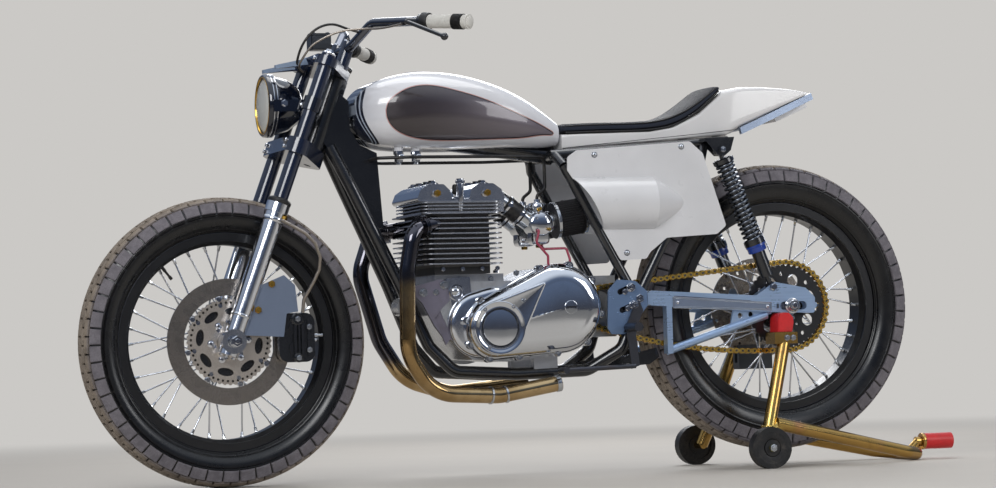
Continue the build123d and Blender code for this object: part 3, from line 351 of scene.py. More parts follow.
def arm_alloy():
    """The swingarm: alloy brushed along its length, duller on the floor of the pressed panel."""
    f = Finish("arm_alloy", Metallic=0.65)
    x = f.axis(0)
    level = f.axis(2) + (x - 1092) * 0.0792
    inside = x.rise(1091.5, 1092.5) * x.rise(1294.5, 1293.5) * level.rise(425, 424) * level.rise(408, 409)
    floor = inside * f.axis(1).size().rise(132.9, 132.5)
    streak = f.noise(260, 2, 0.4, f.stretched((0.05, 1, 1)))
    slow = f.noise(16, 5, 0.6)
    tone = f.mix(streak, ink("98b2d6"), ink("b2caea"))
    tone = f.mix(floor, tone, ink("7d84a0"))
    return f.dressed(f.mix(slow.rise(0.52, 0.78) * 0.08, tone, ink("6a6a76")),
                     streak * 0.06 + slow * 0.12 + floor * 0.12 + 0.2, slow, 0.00002)


def tank_paint():
    """White with a dark blue band round the nose."""
    f = Finish("tank_paint", Coat_Roughness=0.04)
    x = f.axis(0)
    z = f.axis(2)
    off = z - 886
    edge = x - off * off * 0.0062 - 337
    band = edge.rise(0.5, -0.5)
    lines = (edge + 5.5).size().rise(1.4, 0.9) + (edge + 11).size().rise(1.1, 0.6)
    slow = f.noise(6, 3).rise(0.3, 0.7)
    white = f.mix(slow, ink("d3d5dc"), ink("dfe0e6"))
    f.set("Coat Weight", f.noise(10, 3) * 0.2 + 0.75)
    return f.dressed(f.mix(band, white, f.mix(lines, ink("171c2c"), ink("aab4c4"))),
                     f.noise(24, 4) * 0.12 + 0.16, f.noise(240, 2), 0.00012)


def panel_paint():
    """The dark panel: brown black in front, greyer violet to the rear, a fine metal fleck in the clear
    coat."""
    f = Finish("panel_paint", Coat_Roughness=0.04)
    back = f.axis(0).rise(380, 820)
    fleck = f.cells(2600).rise(0.5, 0.1)
    tone = f.mix(back, ink("2b2426"), ink("6d6670"))
    f.set("Metallic", fleck * 0.4 + 0.25)
    f.set("Coat Weight", f.noise(10, 3) * 0.2 + 0.8)
    return f.dressed(f.mix(fleck * 0.3, tone, ink("9a8f92")), f.noise(40, 3) * 0.15 + 0.25, f.noise(240, 2),
                     0.0001)


def leather():
    """Black seat covering: a pebbled grain, and a painted blue-grey sheen on the sides."""
    f = Finish("seat_cover", Specular_IOR_Level=0.12)
    grain = f.cells(900)
    slow = f.noise(18, 5)
    # Painted sheen: surfaces facing sideways are mixed to blue grey.
    side = f.facing(2).size().rise(0.6, 0.2)
    tone = f.mix(slow.rise(0.35, 0.75), ink("0f0f12"), ink("222127"))
    tone = f.mix(side * 0.8, tone, ink("2c323f"))
    return f.dressed(f.mix(grain.rise(0.25, 0.7) * 0.15, tone, ink("3a3a44")),
                     slow * 0.2 + grain * 0.15 + 0.42, grain, 0.0004)


def passivated():
    """Yellow passivated plate: straw gold that drifts to olive and to rose, with dull patches."""
    f = Finish("passivated_gold", Metallic=1.0)
    drift = f.noise(5, 3)
    patch = f.noise(30, 5)
    tone = f.mix(drift.rise(0.5, 0.75), ink("bf9a58"), ink("8e9a5c"))
    tone = f.mix(f.noise(8, 2).rise(0.55, 0.75) * 0.6, tone, ink("b8796a"))
    return f.dressed(f.mix(patch.rise(0.5, 0.8) * 0.35, tone, ink("6a4a28")), patch * 0.16 + 0.14,
                     f.noise(400, 3), 0.00003)


def glass():
    """Clear moulded glass: fine vertical flutes in the bump, a faint tint."""
    f = Finish("lamp_glass", Transmission_Weight=0.5, IOR=1.45)
    flutes = (f.axis(1) * 0.9).wave() * 0.5 + 0.5
    return f.dressed(f.mix(f.noise(30, 3), ink("eef2ee"), ink("ffffff")), f.noise(40, 3) * 0.05 + 0.02,
                     flutes, 0.0006)


def mesh_filter():
    """Oiled gauze over pleats: a close weave."""
    f = Finish("filter_gauze")
    weave = f.cells(1400)
    slow = f.noise(40, 5)
    f.set("Metallic", weave * 0.4)
    return f.dressed(f.mix(weave.rise(0.2, 0.6), ink("060607"), ink("1d1b1f")), slow * 0.2 + 0.38, weave,
                     0.0006)


CHROME = metal("chrome", "dfe1e6", 0.06, 700, depth=0.00001, stain=0.2, haze=0.08)
POLISHED = metal("polished_alloy", "dfe2e8", 0.12, 800, (1, 1, 3), depth=0.00002, stain=0.15, haze=0.12)
MIRROR = metal("mirror_cover", "e4e7ec", 0.06, 500, depth=0.00001, stain=0.1, haze=0.07)
STEEL = metal("bright_steel", "cfd2d6", 0.2, 900, depth=0.00003, stain=0.25)
DARK_STEEL = metal("dark_steel", "55565c", 0.35, 700, depth=0.00006, stain=0.4)
BARREL = finned("barrel_alloy", 561, 99, 146, 24, 640, 505)
HEAD = finned("head_alloy", 566, 100, 118, 18, 662, 600)
CASES = cast("case_alloy", "d2d5da", 0.16, 0.4)
PLATE = metal("plate_alloy", "7d97bd", 0.24, 500, (0.3, 1, 1), 0.00001, 0.12, bare=0.55)
BLACK_CHROME = metal("black_chrome", "6d7078", 0.1, 700, depth=0.00001, stain=0.2, haze=0.1)
ARM = arm_alloy()
BLACK = paint("black_enamel", "16181d", 0.25, 0.8, 0.0002, 0.8, 0.3, "5d5750")
BLUE_BLACK = paint("blue_black_enamel", "141f38", 0.16, 0.9, 0.0002, 0.8, 0.12, "5d5750")
RIM_BLACK = paint("rim_black", "0c0c0f", 0.36, 0.3, 0.0002, 0.8, 0.3, "4a443e")
WHITE = paint("white_enamel", "e2e2e4", 0.24, 0.7, 0.00012, 0.94, 0.12, "a59a8a")
PLATE_WHITE = paint("plate_white", "dedfe3", 0.3, 0.5, 0.00014, 0.92, 0.12, "a59a8a")
TANK = tank_paint()
PANEL = panel_paint()
TYRE = tyre_rubber()
TREAD = tread_rubber()
RUBBER = rubber("black_rubber", "131315", dust=0.16, rough=0.5)
HOSE = rubber("hose_rubber", "101012", dust=0.2, rough=0.42, depth=0.0001)
WHITE_GRIP = rubber("white_grip", "d9d8d4", "8a8074", 0.35, 0.6, 500, 0.0003)
RED = rubber("red_nylon", "cf2428", "5d2320", 0.4, 0.38, 300, 0.0001)
FUEL_RED = rubber("fuel_line", "a23a52", "5d2a38", 0.3, 0.3, 200, 0.00005)
HEATED = heated()
GOLD = passivated()
CHAIN_GOLD = metal("chain_gold", "f0c868", 0.22, 700, depth=0.00002, stain=0.3, stain_code="6a5020")
BRASS = metal("brass", "c9a04c", 0.24, 700, depth=0.00003, stain=0.3, stain_code="5a4420")
SPROCKET = paint("sprocket_black", "1c1b1d", 0.35, 0.3, 0.0002, 0.8, 0.5, "5a5048")
DISC = disc_steel("front_disc_steel", FRONT_AXLE)
REAR_DISC = disc_steel("rear_disc_steel", REAR_AXLE)
CARRIER = metal("disc_carrier", "e2d8cc", 0.22, 500, depth=0.00001, stain=0.4, stain_code="7a6450",
                haze=0.12, bare=0.8)
BRACKET = metal("bracket_alloy", "7c89a0", 0.34, 500, (0.4, 1, 1), 0.00002, 0.2, bare=0.4)
MOUNT = metal("mount_alloy", "8a8696", 0.3, 500, (0.4, 1, 1), 0.00002, 0.3, bare=0.5)
BRAID = metal("braided_hose", "a39a90", 0.34, 1500, (1, 1, 3), 0.0002, 0.3)
NAVY = paint("navy_gloss", "0d1424", 0.1, 1.0, 0.00005, 0.8, 0.06, "5d5750")
REFLECTOR = metal("lamp_reflector_silver", "eceff2", 0.24, 300, depth=0.00001, stain=0.0, haze=0.05, bare=0.5)
LIGHT_BAR = metal("lamp_bar_alloy", "a3b6d0", 0.24, 500, (0.3, 1, 1), 0.00002, 0.15, bare=0.35)
GUN = paint("gun_grey", "33373d", 0.4, 0.3, 0.0004, 0.8, 0.4, "6a625a")
LEATHER = leather()
GLASS = glass()
GAUZE = mesh_filter()
BLUE = paint("blue_anodised", "1d3f9c", 0.25, 0.6, 0.0001, 0.8, 0.2)
LAMP_BACK = paint("lamp_black", "14151a", 0.22, 0.8, 0.0001, 0.8, 0.2)
STRIP = metal("tail_strip_alloy", "8795ab", 0.26, 500, (0.2, 1, 1), 0.00001, 0.15, bare=0.5)
PINSTRIPE = paint("pinstripe_rose", "b98a86", 0.3, 0.6, 0.0001, 0.9, 0.1)
SPRING = metal("spring_steel", "6f747c", 0.22, 500, depth=0.00003, stain=0.4, stain_code="2a2628")

SLOTS = {
    TYRE: "tyre", TREAD: "tyre", CHROME: "chrome", STEEL: "steel", DARK_STEEL: "black_metal", BRASS: "brass",
    LEATHER: "seat_black", GLASS: "lamp_glass", CHAIN_GOLD: "gold_chain", GOLD: "gold_plate",
    RED: "red_plastic", HOSE: "hose", WHITE_GRIP: "grip_white", MIRROR: "polished_alloy",
    LAMP_BACK: "frame_black", GAUZE: "filter", NAVY: "frame_black", BRAID: "steel",
}

# The nodes of each finish; the rest are bright steel
COATS = {
    TYRE: "front_tyre rear_tyre",
    RIM_BLACK: "front_rim rear_rim",
    POLISHED: "front_hub rear_hub fork_sliders",
    DISC: "front_disc",
    REAR_DISC: "rear_disc",
    SPROCKET: "rear_sprocket",
    BLUE_BLACK: "lower_yoke top_yoke fork_tubes",
    BLACK_CHROME: "handlebar",
    WHITE_GRIP: "grips",
    BLACK: "levers front_caliper frame rear_frame shock_dampers",
    LAMP_BACK: "headlamp_shell",
    GLASS: "headlamp_lens",
    NAVY: "lamp_brackets",
    BRACKET: "caliper_bracket",
    CASES: "engine_cases",
    MIRROR: "primary_cover",
    BARREL: "cylinder_block",
    HEAD: "cylinder_head",
    PLATE: "engine_plates",
    GAUZE: "air_filters",
    HEATED: "exhaust_left exhaust_right",
    TANK: "fuel_tank",
    WHITE: "seat_base",
    LEATHER: "seat_pad",
    STRIP: "tail_loop",
    PLATE_WHITE: "tail_lamp side_plates",
    ARM: "swingarm",
    DARK_STEEL: "shock_springs footpegs",
    CHAIN_GOLD: "chain",
    GUN: "rear_caliper",
    GOLD: "stand_frame",
    RUBBER: "stand_wheel_left stand_wheel_right",
    RED: "stand_pads stand_handle",
    BRAID: "brake_hose",
    HOSE: "control_cables",
    FUEL_RED: "drain_hoses",
}
coats = {name: finish for finish, names in COATS.items() for name in names.split()}
for name, node in NODES.items():
    node.data.materials.clear()
    node.data.materials.append(coats.get(name, STEEL).material)


# Meshes from arrays
def fork(u, v, w):
    """A place from the front axle: u behind the fork's line, v to the right, w up along it."""
    c, s = cos(radians(RAKE)), sin(radians(RAKE))
    return (u * c + w * s, v, FRONT_AXLE[2] - u * s + w * c)


FORK_UP = np.array((sin(radians(RAKE)), 0, cos(radians(RAKE))))
FORK_BACK = np.array((cos(radians(RAKE)), 0, -sin(radians(RAKE))))


def unit(v):
    v = np.asarray(v, float)
    return v / np.linalg.norm(v, axis=-1, keepdims=True)


def square_to(z):
    """Two directions square to each direction z and to each other."""
    z = unit(z)
    away = np.where(np.abs(z[..., 1:2]) > 0.9, (1.0, 0.0, 0.0), (0.0, 1.0, 0.0))
    x = unit(np.cross(away, z))
    return x, np.cross(z, x)


def through(points, count):
    """A natural cubic spline through the points, at count even steps of the chord's length."""
    p = np.asarray(points, float)
    t = np.concatenate([[0], np.cumsum(np.linalg.norm(np.diff(p, axis=0), axis=1))])
    n = len(p)
    h = np.diff(t)
    a = np.eye(n)
    b = np.zeros((n, p.shape[1]))
    i = np.arange(1, n - 1)
    a[i, i - 1], a[i, i], a[i, i + 1] = h[:-1], 2 * (h[:-1] + h[1:]), h[1:]
    b[1:-1] = 6 * ((p[2:] - p[1:-1]) / h[1:, None] - (p[1:-1] - p[:-2]) / h[:-1, None])
    m = np.linalg.solve(a, b)
    s = np.linspace(0, t[-1], count)
    k = np.clip(np.searchsorted(t, s) - 1, 0, n - 2)
    d, u = h[k][:, None], (s - t[k])[:, None]
    v = d - u
    curve = (m[k] * v**3 + m[k + 1] * u**3) / (6 * d)
    return curve + (p[k] / d - m[k] * d / 6) * v + (p[k + 1] / d - m[k + 1] * d / 6) * u


def grid(points, along=False):
    """The four-sided faces of a grid of points (rows, columns, 3), each row joined round."""
    rows, columns = points.shape[:2]
    i = np.arange(rows if along else rows - 1)[:, None]
    j = np.arange(columns)[None, :]
    below, beside = (i + 1) % rows, (j + 1) % columns
    quads = np.stack([i * columns + j, below * columns + j, below * columns + beside, i * columns + beside],
                     -1)
    return points.reshape(-1, 3), [quads.reshape(-1, 4)]


def turned(profile, origin, axis, sides=64, ring=None):
    """A profile of (radius, distance) turned round an axis: origin + distance * axis + radius * (cos a, sin
    a). A profile with both ends off the axis is closed to a ring."""
    radius, along = np.asarray(profile, float).T
    if ring is None:
        ring = min(radius[0], radius[-1]) > 0.1
    z = unit(axis)
    x, y = square_to(z)
    a = np.linspace(0, 2 * pi, sides, endpoint=False)
    circle = np.cos(a)[:, None] * x + np.sin(a)[:, None] * y
    points = np.asarray(origin, float) + along[:, None, None] * z + radius[:, None, None] * circle
    return grid(points, ring)


def band(inner, outer, start, end, edge=0.0):
    """The profile of a flat hoop between two radii and two distances, its outer corners cut by edge."""
    return [(inner, start), (outer, start + edge), (outer, end - edge), (inner, end)]


def piped(path, radius, sides=12, flat=RIGHT):
    """A circle carried along a path, closed at its ends; its first direction is flat made square to the
    run."""
    path = np.asarray(path, float)
    run = unit(np.gradient(path, axis=0))
    x = unit(flat - (run @ flat)[:, None] * run)
    y = np.cross(run, x)
    a = np.linspace(0, 2 * pi, sides, endpoint=False)
    circle = np.cos(a)[None, :, None] * x[:, None] + np.sin(a)[None, :, None] * y[:, None]
    points = path[:, None] + radius * circle
    ends = (np.repeat(path[k, None, None], sides, 1) for k in (0, -1))
    return grid(np.concatenate([next(ends), points, next(ends)]))


def lidded(points):
    """A grid of outlines one on another, with a face over each end."""
    sides = points.shape[1]
    points, faces = grid(points)
    return points, faces + [np.arange(sides)[None, ::-1], len(points) - sides + np.arange(sides)[None]]


def stacked(rings, sides):
    """Flat-sided or round outlines (radius, height) one on another, closed at both ends."""
    a = 2 * pi * np.arange(sides) / sides
    r, t = np.asarray(rings, float).T[..., None]
    return lidded(np.stack([r * np.cos(a), r * np.sin(a), t + 0 * a], -1))


def boxed(a, b):
    """A square block between two corners."""
    lo, hi = np.minimum(a, b).astype(float), np.maximum(a, b).astype(float)
    pick = np.array([[i, j, k] for k in (0, 1) for j in (0, 1) for i in (0, 1)])
    faces = [[0, 2, 3, 1], [4, 5, 7, 6], [0, 1, 5, 4], [2, 6, 7, 3], [0, 4, 6, 2], [1, 3, 7, 5]]
    return lo + pick * (hi - lo), [np.array(faces)]


def pressed(outline, y0, y1):
    """A flat plate with the outline (x, z) between y0 and y1."""
    o = np.asarray(outline, float)
    n = len(o)
    layers = [np.stack([o[:, 0], np.full(n, y), o[:, 1]], -1) for y in (y0, y1)]
    i = np.arange(n)
    sides = np.stack([i, (i + 1) % n, (i + 1) % n + n, i + n], -1)
    return np.concatenate(layers), [sides, i[None, ::-1], i[None] + n]


def oval(middle, long, wide=None, turn=0.0, count=24, waves=0.0, lobes=0):
    """A closed line (x, z): the oval turned by an angle, its radius waved lobes times round by waves."""
    a = 2 * pi * np.arange(count) / count
    reach = 1 + waves * np.cos(lobes * a) / long
    u, v = long * reach * np.cos(a), (long if wide is None else wide) * reach * np.sin(a)
    return np.stack([middle[0] + u * cos(turn) - v * sin(turn), middle[1] + u * sin(turn) + v * cos(turn)],
                    -1)


def holes_round(count, radius, middle, start, long, wide, sides):
    """Holes round a circle, the first one start degrees from +X; ovals turn with their place."""
    turns = radians(start) + 2 * pi * np.arange(count) / count
    spots = [(middle[0] + radius * cos(a), middle[1] + radius * sin(a)) for a in turns]
    return [oval(at, long, wide, 0.0 if wide == long else a, sides) for at, a in zip(spots, turns)]


def cut_plate(outline, holes, y0, y1):
    """A flat plate with the outline (x, z) and holes through it, between y0 and y1."""
    lines = [np.asarray(line, float) for line in (outline, *holes)]
    flat = np.concatenate(lines)
    n = len(flat)
    fill = np.array(tessellate_polygon([np.column_stack([line, np.zeros(len(line))]).tolist()
                                        for line in lines]))
    points = np.concatenate([np.stack([flat[:, 0], np.full(n, y), flat[:, 1]], -1) for y in (y0, y1)])
    faces = [fill[:, ::-1], fill + n]
    start = 0
    for line in lines:
        i = start + np.arange(len(line))
        after = start + (np.arange(len(line)) + 1) % len(line)
        faces.append(np.stack([i, after, after + n, i + n], -1))
        start += len(line)
    return points, faces


class Shape:
    """Points and faces gathered from several surfaces, to become one piece."""

    def __init__(self):
        self.points = []
        self.faces = []
        self.count = 0

    def add(self, made):
        points, faces = made
        self.points.append(np.asarray(points, float).reshape(-1, 3))
        self.faces += [np.asarray(f) + self.count for f in faces]
        self.count += len(self.points[-1])
        return self

    def turn(self, *how, **more):
        return self.add(turned(*how, **more))

    def pipe(self, *how):
        return self.add(piped(*how))

    def press(self, *how):
        return self.add(pressed(*how))

    def box(self, *how):
        return self.add(boxed(*how))

    def copies(self, made, places, directions=UP):
        """The made points at each place, their own +Z turned to each direction."""
        points, faces = made
        places = np.atleast_2d(np.asarray(places, float))
        z = unit(np.broadcast_to(np.asarray(directions, float), places.shape))
        x, y = square_to(z)
        turn = np.stack([x, y, z], -1)
        moved = places[:, None] + np.einsum("nij,mj->nmi", turn, points)
        step = len(points) * np.arange(len(places))
        spread = [(f[None] + step[:, None, None]).reshape(-1, f.shape[1]) for f in faces]
        return self.add((moved, spread))

    def both(self, made, places):
        """The made points at each place and at its mirror place, pointing away from the middle plane."""
        places = mirrored(places)
        return self.copies(made, places, np.sign(places[:, 1:2]) * RIGHT)

    def piece(self, name, finish, body="chassis", angle=38, weld=True, instead=()):
        """The mesh at its place in the frame, in metres, riding on a body."""
        points = (np.concatenate(self.points) - (X_MID, 0, 0)) / 1000
        mesh = bpy.data.meshes.new(name)
        mesh.vertices.add(len(points))
        mesh.vertices.foreach_set("co", points.astype(np.float32).ravel())
        loops = np.concatenate([f.ravel() for f in self.faces])
        sizes = np.concatenate([np.full(len(f), f.shape[1]) for f in self.faces])
        mesh.loops.add(len(loops))
        mesh.loops.foreach_set("vertex_index", loops.astype(np.int32))
        mesh.polygons.add(len(sizes))
        mesh.polygons.foreach_set("loop_start", np.concatenate([[0], np.cumsum(sizes)[:-1]]).astype(np.int32))
        mesh.polygons.foreach_set("loop_total", sizes.astype(np.int32))
        mesh.update(calc_edges=True)
        mesh.validate()
        if weld:
            work = bmesh.new()
            work.from_mesh(mesh)
            bmesh.ops.remove_doubles(work, verts=work.verts, dist=2e-6)
            bmesh.ops.recalc_face_normals(work, faces=work.faces)
            work.to_mesh(mesh)
            work.free()
        mesh.shade_smooth()
        mesh.set_sharp_from_angle(angle=radians(angle))
        mesh.materials.append(finish.material)
        made = bpy.data.objects.new(name, mesh)
        bpy.context.scene.collection.objects.link(made)
        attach(made, body)
        finish in SLOTS
        if instead:
            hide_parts(*instead)
        return made


def mirrored(points):
    """The same places on the left and on the right."""
    points = np.atleast_2d(np.asarray(points, float))
    return np.concatenate([points, points * (1, -1, 1)])


# Fasteners that stand on z = 0
HEX = stacked([(8, 0), (8, 1.2), (6.6, 1.2), (6.6, 5.4), (5.7, 6.2)], 6)
NUT = stacked([(7.2, 0), (7.2, 5.6), (6.2, 6.4), (3.6, 6.4), (3.6, 9), (3.0, 9.6)], 6)
SCREW = stacked([(5, 0), (5, 3.6), (4.4, 4.4), (2.4, 4.4), (2.4, 2)], 12)
BUTTON = stacked([(5.4, 0), (5.2, 1.4), (4, 2.6), (2, 3.1)], 12)
WASHER = stacked([(9.5, 0), (9.5, 1.2), (9, 1.6)], 16)


def sized(made, scale):
    return made[0] * scale, made[1]


# Wheels
def section(radius, width, rim_width):
    """The tyre's outside from the crown's middle to the bead, as (radius, half width) every millimetre or
    so."""
    half = width / 2
    flange = 258.0
    belly = (flange + radius - 16) / 2 - 6
    marks = [(radius, 0), (radius - 1.0, half * 0.24), (radius - 3.8, half * 0.47),
             (radius - 8.4, half * 0.67), (radius - 16.5, half - 10.5), (radius - 32, half - 3),
             (belly, half - 0.4), (flange + 12, (half + rim_width / 2) / 2 + 5),
             (flange, rim_width / 2 + 1.0)]
    return through(marks, 161)


def tyre(name, node, body, axle, radius, width, rim_width, rows, count, reach):
    """A turned carcass whose tread zone lies 5.5 mm deep, and rows of blocks that stand back up to the
    crown."""
    line = section(radius, width, rim_width)
    step = np.concatenate([[0], np.cumsum(np.linalg.norm(np.diff(line, axis=0), axis=1))])
    out = unit(np.stack([np.gradient(line[:, 1]), -np.gradient(line[:, 0])], -1))
    depth = 5.5 * np.clip((reach + 7 - step) / 5, 0, 1)
    ridges = sum(np.exp(-(((step - step[-1] * at) / 0.9) ** 2)) for at in (0.62, 0.66, 0.9, 0.94, 0.97))
    wall = line - out * depth[:, None] + out * (0.9 * ridges)[:, None]
    half = np.vstack([wall, [(241.4, rim_width / 2 - 0.3)]])
    ring = np.vstack([half[::-1], (half * (1, -1))[1:]])
    shape = Shape().turn(ring, axle, RIGHT, 180)
    shape.piece(name, TYRE, body, instead=(node,))

    def at(s, height):
        """Radius and half width at arc length s from the crown, raised or sunk along the outside's
        normal."""
        signs = np.sign(s)
        s = np.abs(s)
        r = np.interp(s, step, line[:, 0]) + np.interp(s, step, out[:, 0]) * height
        y = np.interp(s, step, line[:, 1]) + np.interp(s, step, out[:, 1]) * height
        return r, np.where(signs < 0, -y, y)

    blocks = Shape()
    for k, (mid, wide) in enumerate(rows):
        turn = 2 * pi * (np.arange(count) + (0.5 if k % 2 else 0.0)) / count
        length = 2 * pi / count * 0.43
        corners = []
        for height, grow in ((-7.0, 1.1), (-0.7, 1.02), (0.0, 0.94)):
            for u, v in ((-1, -1), (0, -1), (1, -1), (1, 1), (0, 1), (-1, 1)):
                s = np.full(count, mid + v * wide / 2 * grow)
                r, y = at(s, height)
                a = turn + u * length * grow
                corners.append(np.stack([axle[0] + r * np.cos(a), axle[1] + y, axle[2] + r * np.sin(a)], -1))
        points = np.stack(corners, 1)
        base = np.arange(6)
        after = (base + 1) % 6
        sides = [np.stack([base + 6 * i, after + 6 * i, after + 6 * i + 6, base + 6 * i + 6], -1)
                 for i in (0, 1)]
        caps = np.array([[0, 5, 4, 1], [1, 4, 3, 2], [12, 13, 16, 17], [13, 14, 15, 16]])
        quads = np.vstack([*sides, caps])
        offset = 18 * np.arange(count)[:, None, None]
        blocks.add((points, [(quads[None] + offset).reshape(-1, 4)]))
    blocks.piece(name + "_blocks", TREAD, body, 30)


def two_sided(rows):
    """The rows of blocks on one side of the crown, and their mirror images."""
    return rows + [(-mid, wide) for mid, wide in rows if mid]


tyre("front_tyre_carcass", "front_tyre", "front_wheel", FRONT_AXLE, 342, 130, 76,
     two_sided([(8.2, 13.2), (24.8, 13.2), (42.6, 15.6), (68.6, 27.0)]), 50, 86)
tyre("rear_tyre_carcass", "rear_tyre", "rear_wheel", REAR_AXLE, 354, 148, 94,
     two_sided([(0, 14.5), (17.6, 14.5), (35.4, 15.0), (54.0, 15.4), (80.6, 28.0)]), 52, 98)


def spokes(name, body, axle, flange_r, flange_y, well):
    """Nipples where the straight spokes meet the rim's well, and heads at the hub's flanges."""
    i = np.arange(36)
    side = np.where(i % 2, 1, -1)
    lean = np.where(i % 4 < 2, 1, -1)
    rim_turn = radians(10) * i
    hub_turn = rim_turn + lean * radians(55)
    inner, outer = flange_r - 5, well - 1.5
    a = np.stack([inner * np.cos(hub_turn), side * (flange_y + 3 * lean), inner * np.sin(hub_turn)],
                 -1) + axle
    b = np.stack([outer * np.cos(rim_turn), side * 7.0, outer * np.sin(rim_turn)], -1) + axle
    nipple = stacked([(2.6, 0), (3.4, 1), (3.4, 9), (4.4, 10.5), (4.4, 13)], 8)
    shape = Shape().copies(nipple, b - unit(b - a) * 12.5, b - a)
    heads = np.stack([0 * i, side * lean * 1.0, 0 * i], -1)
    shape.copies(stacked([(4.2, -1.2), (4.4, 0.6), (3.2, 2.0)], 8), a, heads)
    shape.piece(name, STEEL, body)


spokes("front_nipples", "front_wheel", FRONT_AXLE, 46, 34, RIM_WELL_R - 1)
spokes("rear_nipples", "rear_wheel", REAR_AXLE, 56, 38, RIM_WELL_R - 1)


def ring_of(count, radius, middle, y, start=0.0):
    """Places round a circle in a plane that faces the side."""
    a = radians(start) + 2 * pi * np.arange(count) / count
    return np.stack([middle[0] + radius * np.cos(a), np.full(count, y), middle[-1] + radius * np.sin(a)], -1)


def wheel_trim():
    """Hub bolts, the front hub's turned nose, and a valve in each rim."""
    bits = Shape().copies(SCREW, ring_of(6, 38, FRONT_AXLE, -70.5, 15), LEFT)
    bits.turn([(0, -61), (24, -61), (27, -63), (27, -69), (20, -73), (18, -77), (18, -82), (0, -82)],
              FRONT_AXLE, RIGHT, 40)
    bits.piece("front_hub_trim", CHROME, "front_wheel")
    bolts = Shape().copies(SCREW, ring_of(6, 42, REAR_AXLE, 88.6, 15), RIGHT)
    bolts.copies(SCREW, ring_of(6, 34, REAR_AXLE, -95.2, 0), LEFT)
    bolts.piece("rear_hub_bolts", STEEL, "rear_wheel")
    stem = stacked([(4, 0), (4, 14), (3, 15), (3, 30), (4, 30), (4, 38), (3.2, 39)], 10)
    out = np.array([cos(VALVE_TURN), 0, sin(VALVE_TURN)])
    for end, axle in AXLES.items():
        valve = Shape().copies(stem, np.array(axle) + out * RIM_WELL_R, -out)
        valve.piece(end + "_valve", RUBBER, end + "_wheel")


wheel_trim()


def discs_and_sprocket():
    """The front disc as a plain ring held by bobbins on a pierced carrier, over a black plate of painted
    shade seen through its holes; the sprocket as a toothed plate with a ring of seven large holes and two
    rings of seven small ones."""
    mid = (FRONT_AXLE[0], FRONT_AXLE[2])
    ring = Shape().add(cut_plate(oval(mid, 148, count=144), [oval(mid, 108, count=144)], -70.5, -65.5))
    ring.piece("disc_ring", DISC, "front_wheel", 30, instead=("front_disc",))
    windows = holes_round(8, 71, mid, 36, 9.5, 19.5, 20)
    dots = holes_round(48, 92, mid, 3.75, 3.1, 3.1, 8)
    carrier = Shape().add(cut_plate(oval(mid, 100, count=288, waves=1.8, lobes=48),
                                    [oval(mid, 27.5, count=48), *windows, *dots], -71.5, -64.5))
    carrier.turn([(27.5, -64.5), (54, -64.5), (50, -40), (27.5, -40)], FRONT_AXLE, RIGHT, 48)
    carrier.piece("disc_carrier", CARRIER, "front_wheel", 30)
    # Painted shade: a black plate seen through the carrier's holes.
    Shape().turn(band(50, 97, -61, -58.5), FRONT_AXLE, RIGHT, 72).piece("disc_hole_shade", BLACK, "front_wheel", 30)
    pins = Shape().copies(stacked([(6.6, -8), (6.6, 2.6), (5.6, 3.4), (3.0, 3.4), (3.0, 2.4)], 18),
                          ring_of(8, 102.5, FRONT_AXLE, -70.6, 13.3), LEFT)
    pins.copies(stacked([(5.2, 0), (5.2, 1.6), (2.6, 1.6), (2.6, 0.8)], 14),
                ring_of(8, 87, FRONT_AXLE, -71.5, 13.3), LEFT)
    pins.copies(stacked([(8.2, 0), (8.2, 1.4), (6, 1.6), (6, 4.6), (5.2, 5.2), (3, 5.2), (3, 3.4)], 18),
                ring_of(6, 45, FRONT_AXLE, -71.5, 5), LEFT)
    pins.piece("disc_bobbins", CHROME, "front_wheel")
    hub = (REAR_AXLE[0], REAR_AXLE[2])
    root = CHAIN_PITCH / (2 * sin(pi / REAR_TEETH)) - 11.0
    tooth = np.array([(-0.5, root), (-0.18, root + 4.8), (0.18, root + 4.8), (0.5, root)])
    turn = (tooth[None, :, 0] + np.arange(REAR_TEETH)[:, None]) * 2 * pi / REAR_TEETH
    reach = tooth[None, :, 1]
    line = np.stack([hub[0] + reach * np.cos(turn), hub[1] + reach * np.sin(turn)], -1)
    inside = [oval(hub, 30, count=48), *holes_round(7, 67, hub, 20, 14.5, 14.5, 32),
              *holes_round(7, 80, hub, 45.7, 5, 5, 14), *holes_round(7, 53, hub, 45.7, 4.5, 4.5, 14)]
    wheel = Shape().add(cut_plate(line.reshape(-1, 2), inside, CHAIN_Y - 3, CHAIN_Y + 3))
    wheel.turn(band(30, 38, CHAIN_Y + 3, -58), REAR_AXLE, RIGHT, 48)
    wheel.piece("sprocket_plate", SPROCKET, "rear_wheel", 30, instead=("rear_sprocket",))


discs_and_sprocket()


def rim_lips():
    """A fine rounded lip on each edge of both rims."""
    t = 2 * pi * np.arange(8) / 8
    for end, half in (("front", 38), ("rear", 47)):
        lips = Shape()
        for s in (-1, 1):
            lip = np.stack([256.5 + 1.8 * np.cos(t), s * (half + 0.4) + 1.8 * np.sin(t)], -1)
            lips.turn(lip, AXLES[end], RIGHT, 180)
        lips.piece(end + "_rim_lips", DARK_STEEL, end + "_wheel", 80)


rim_lips()


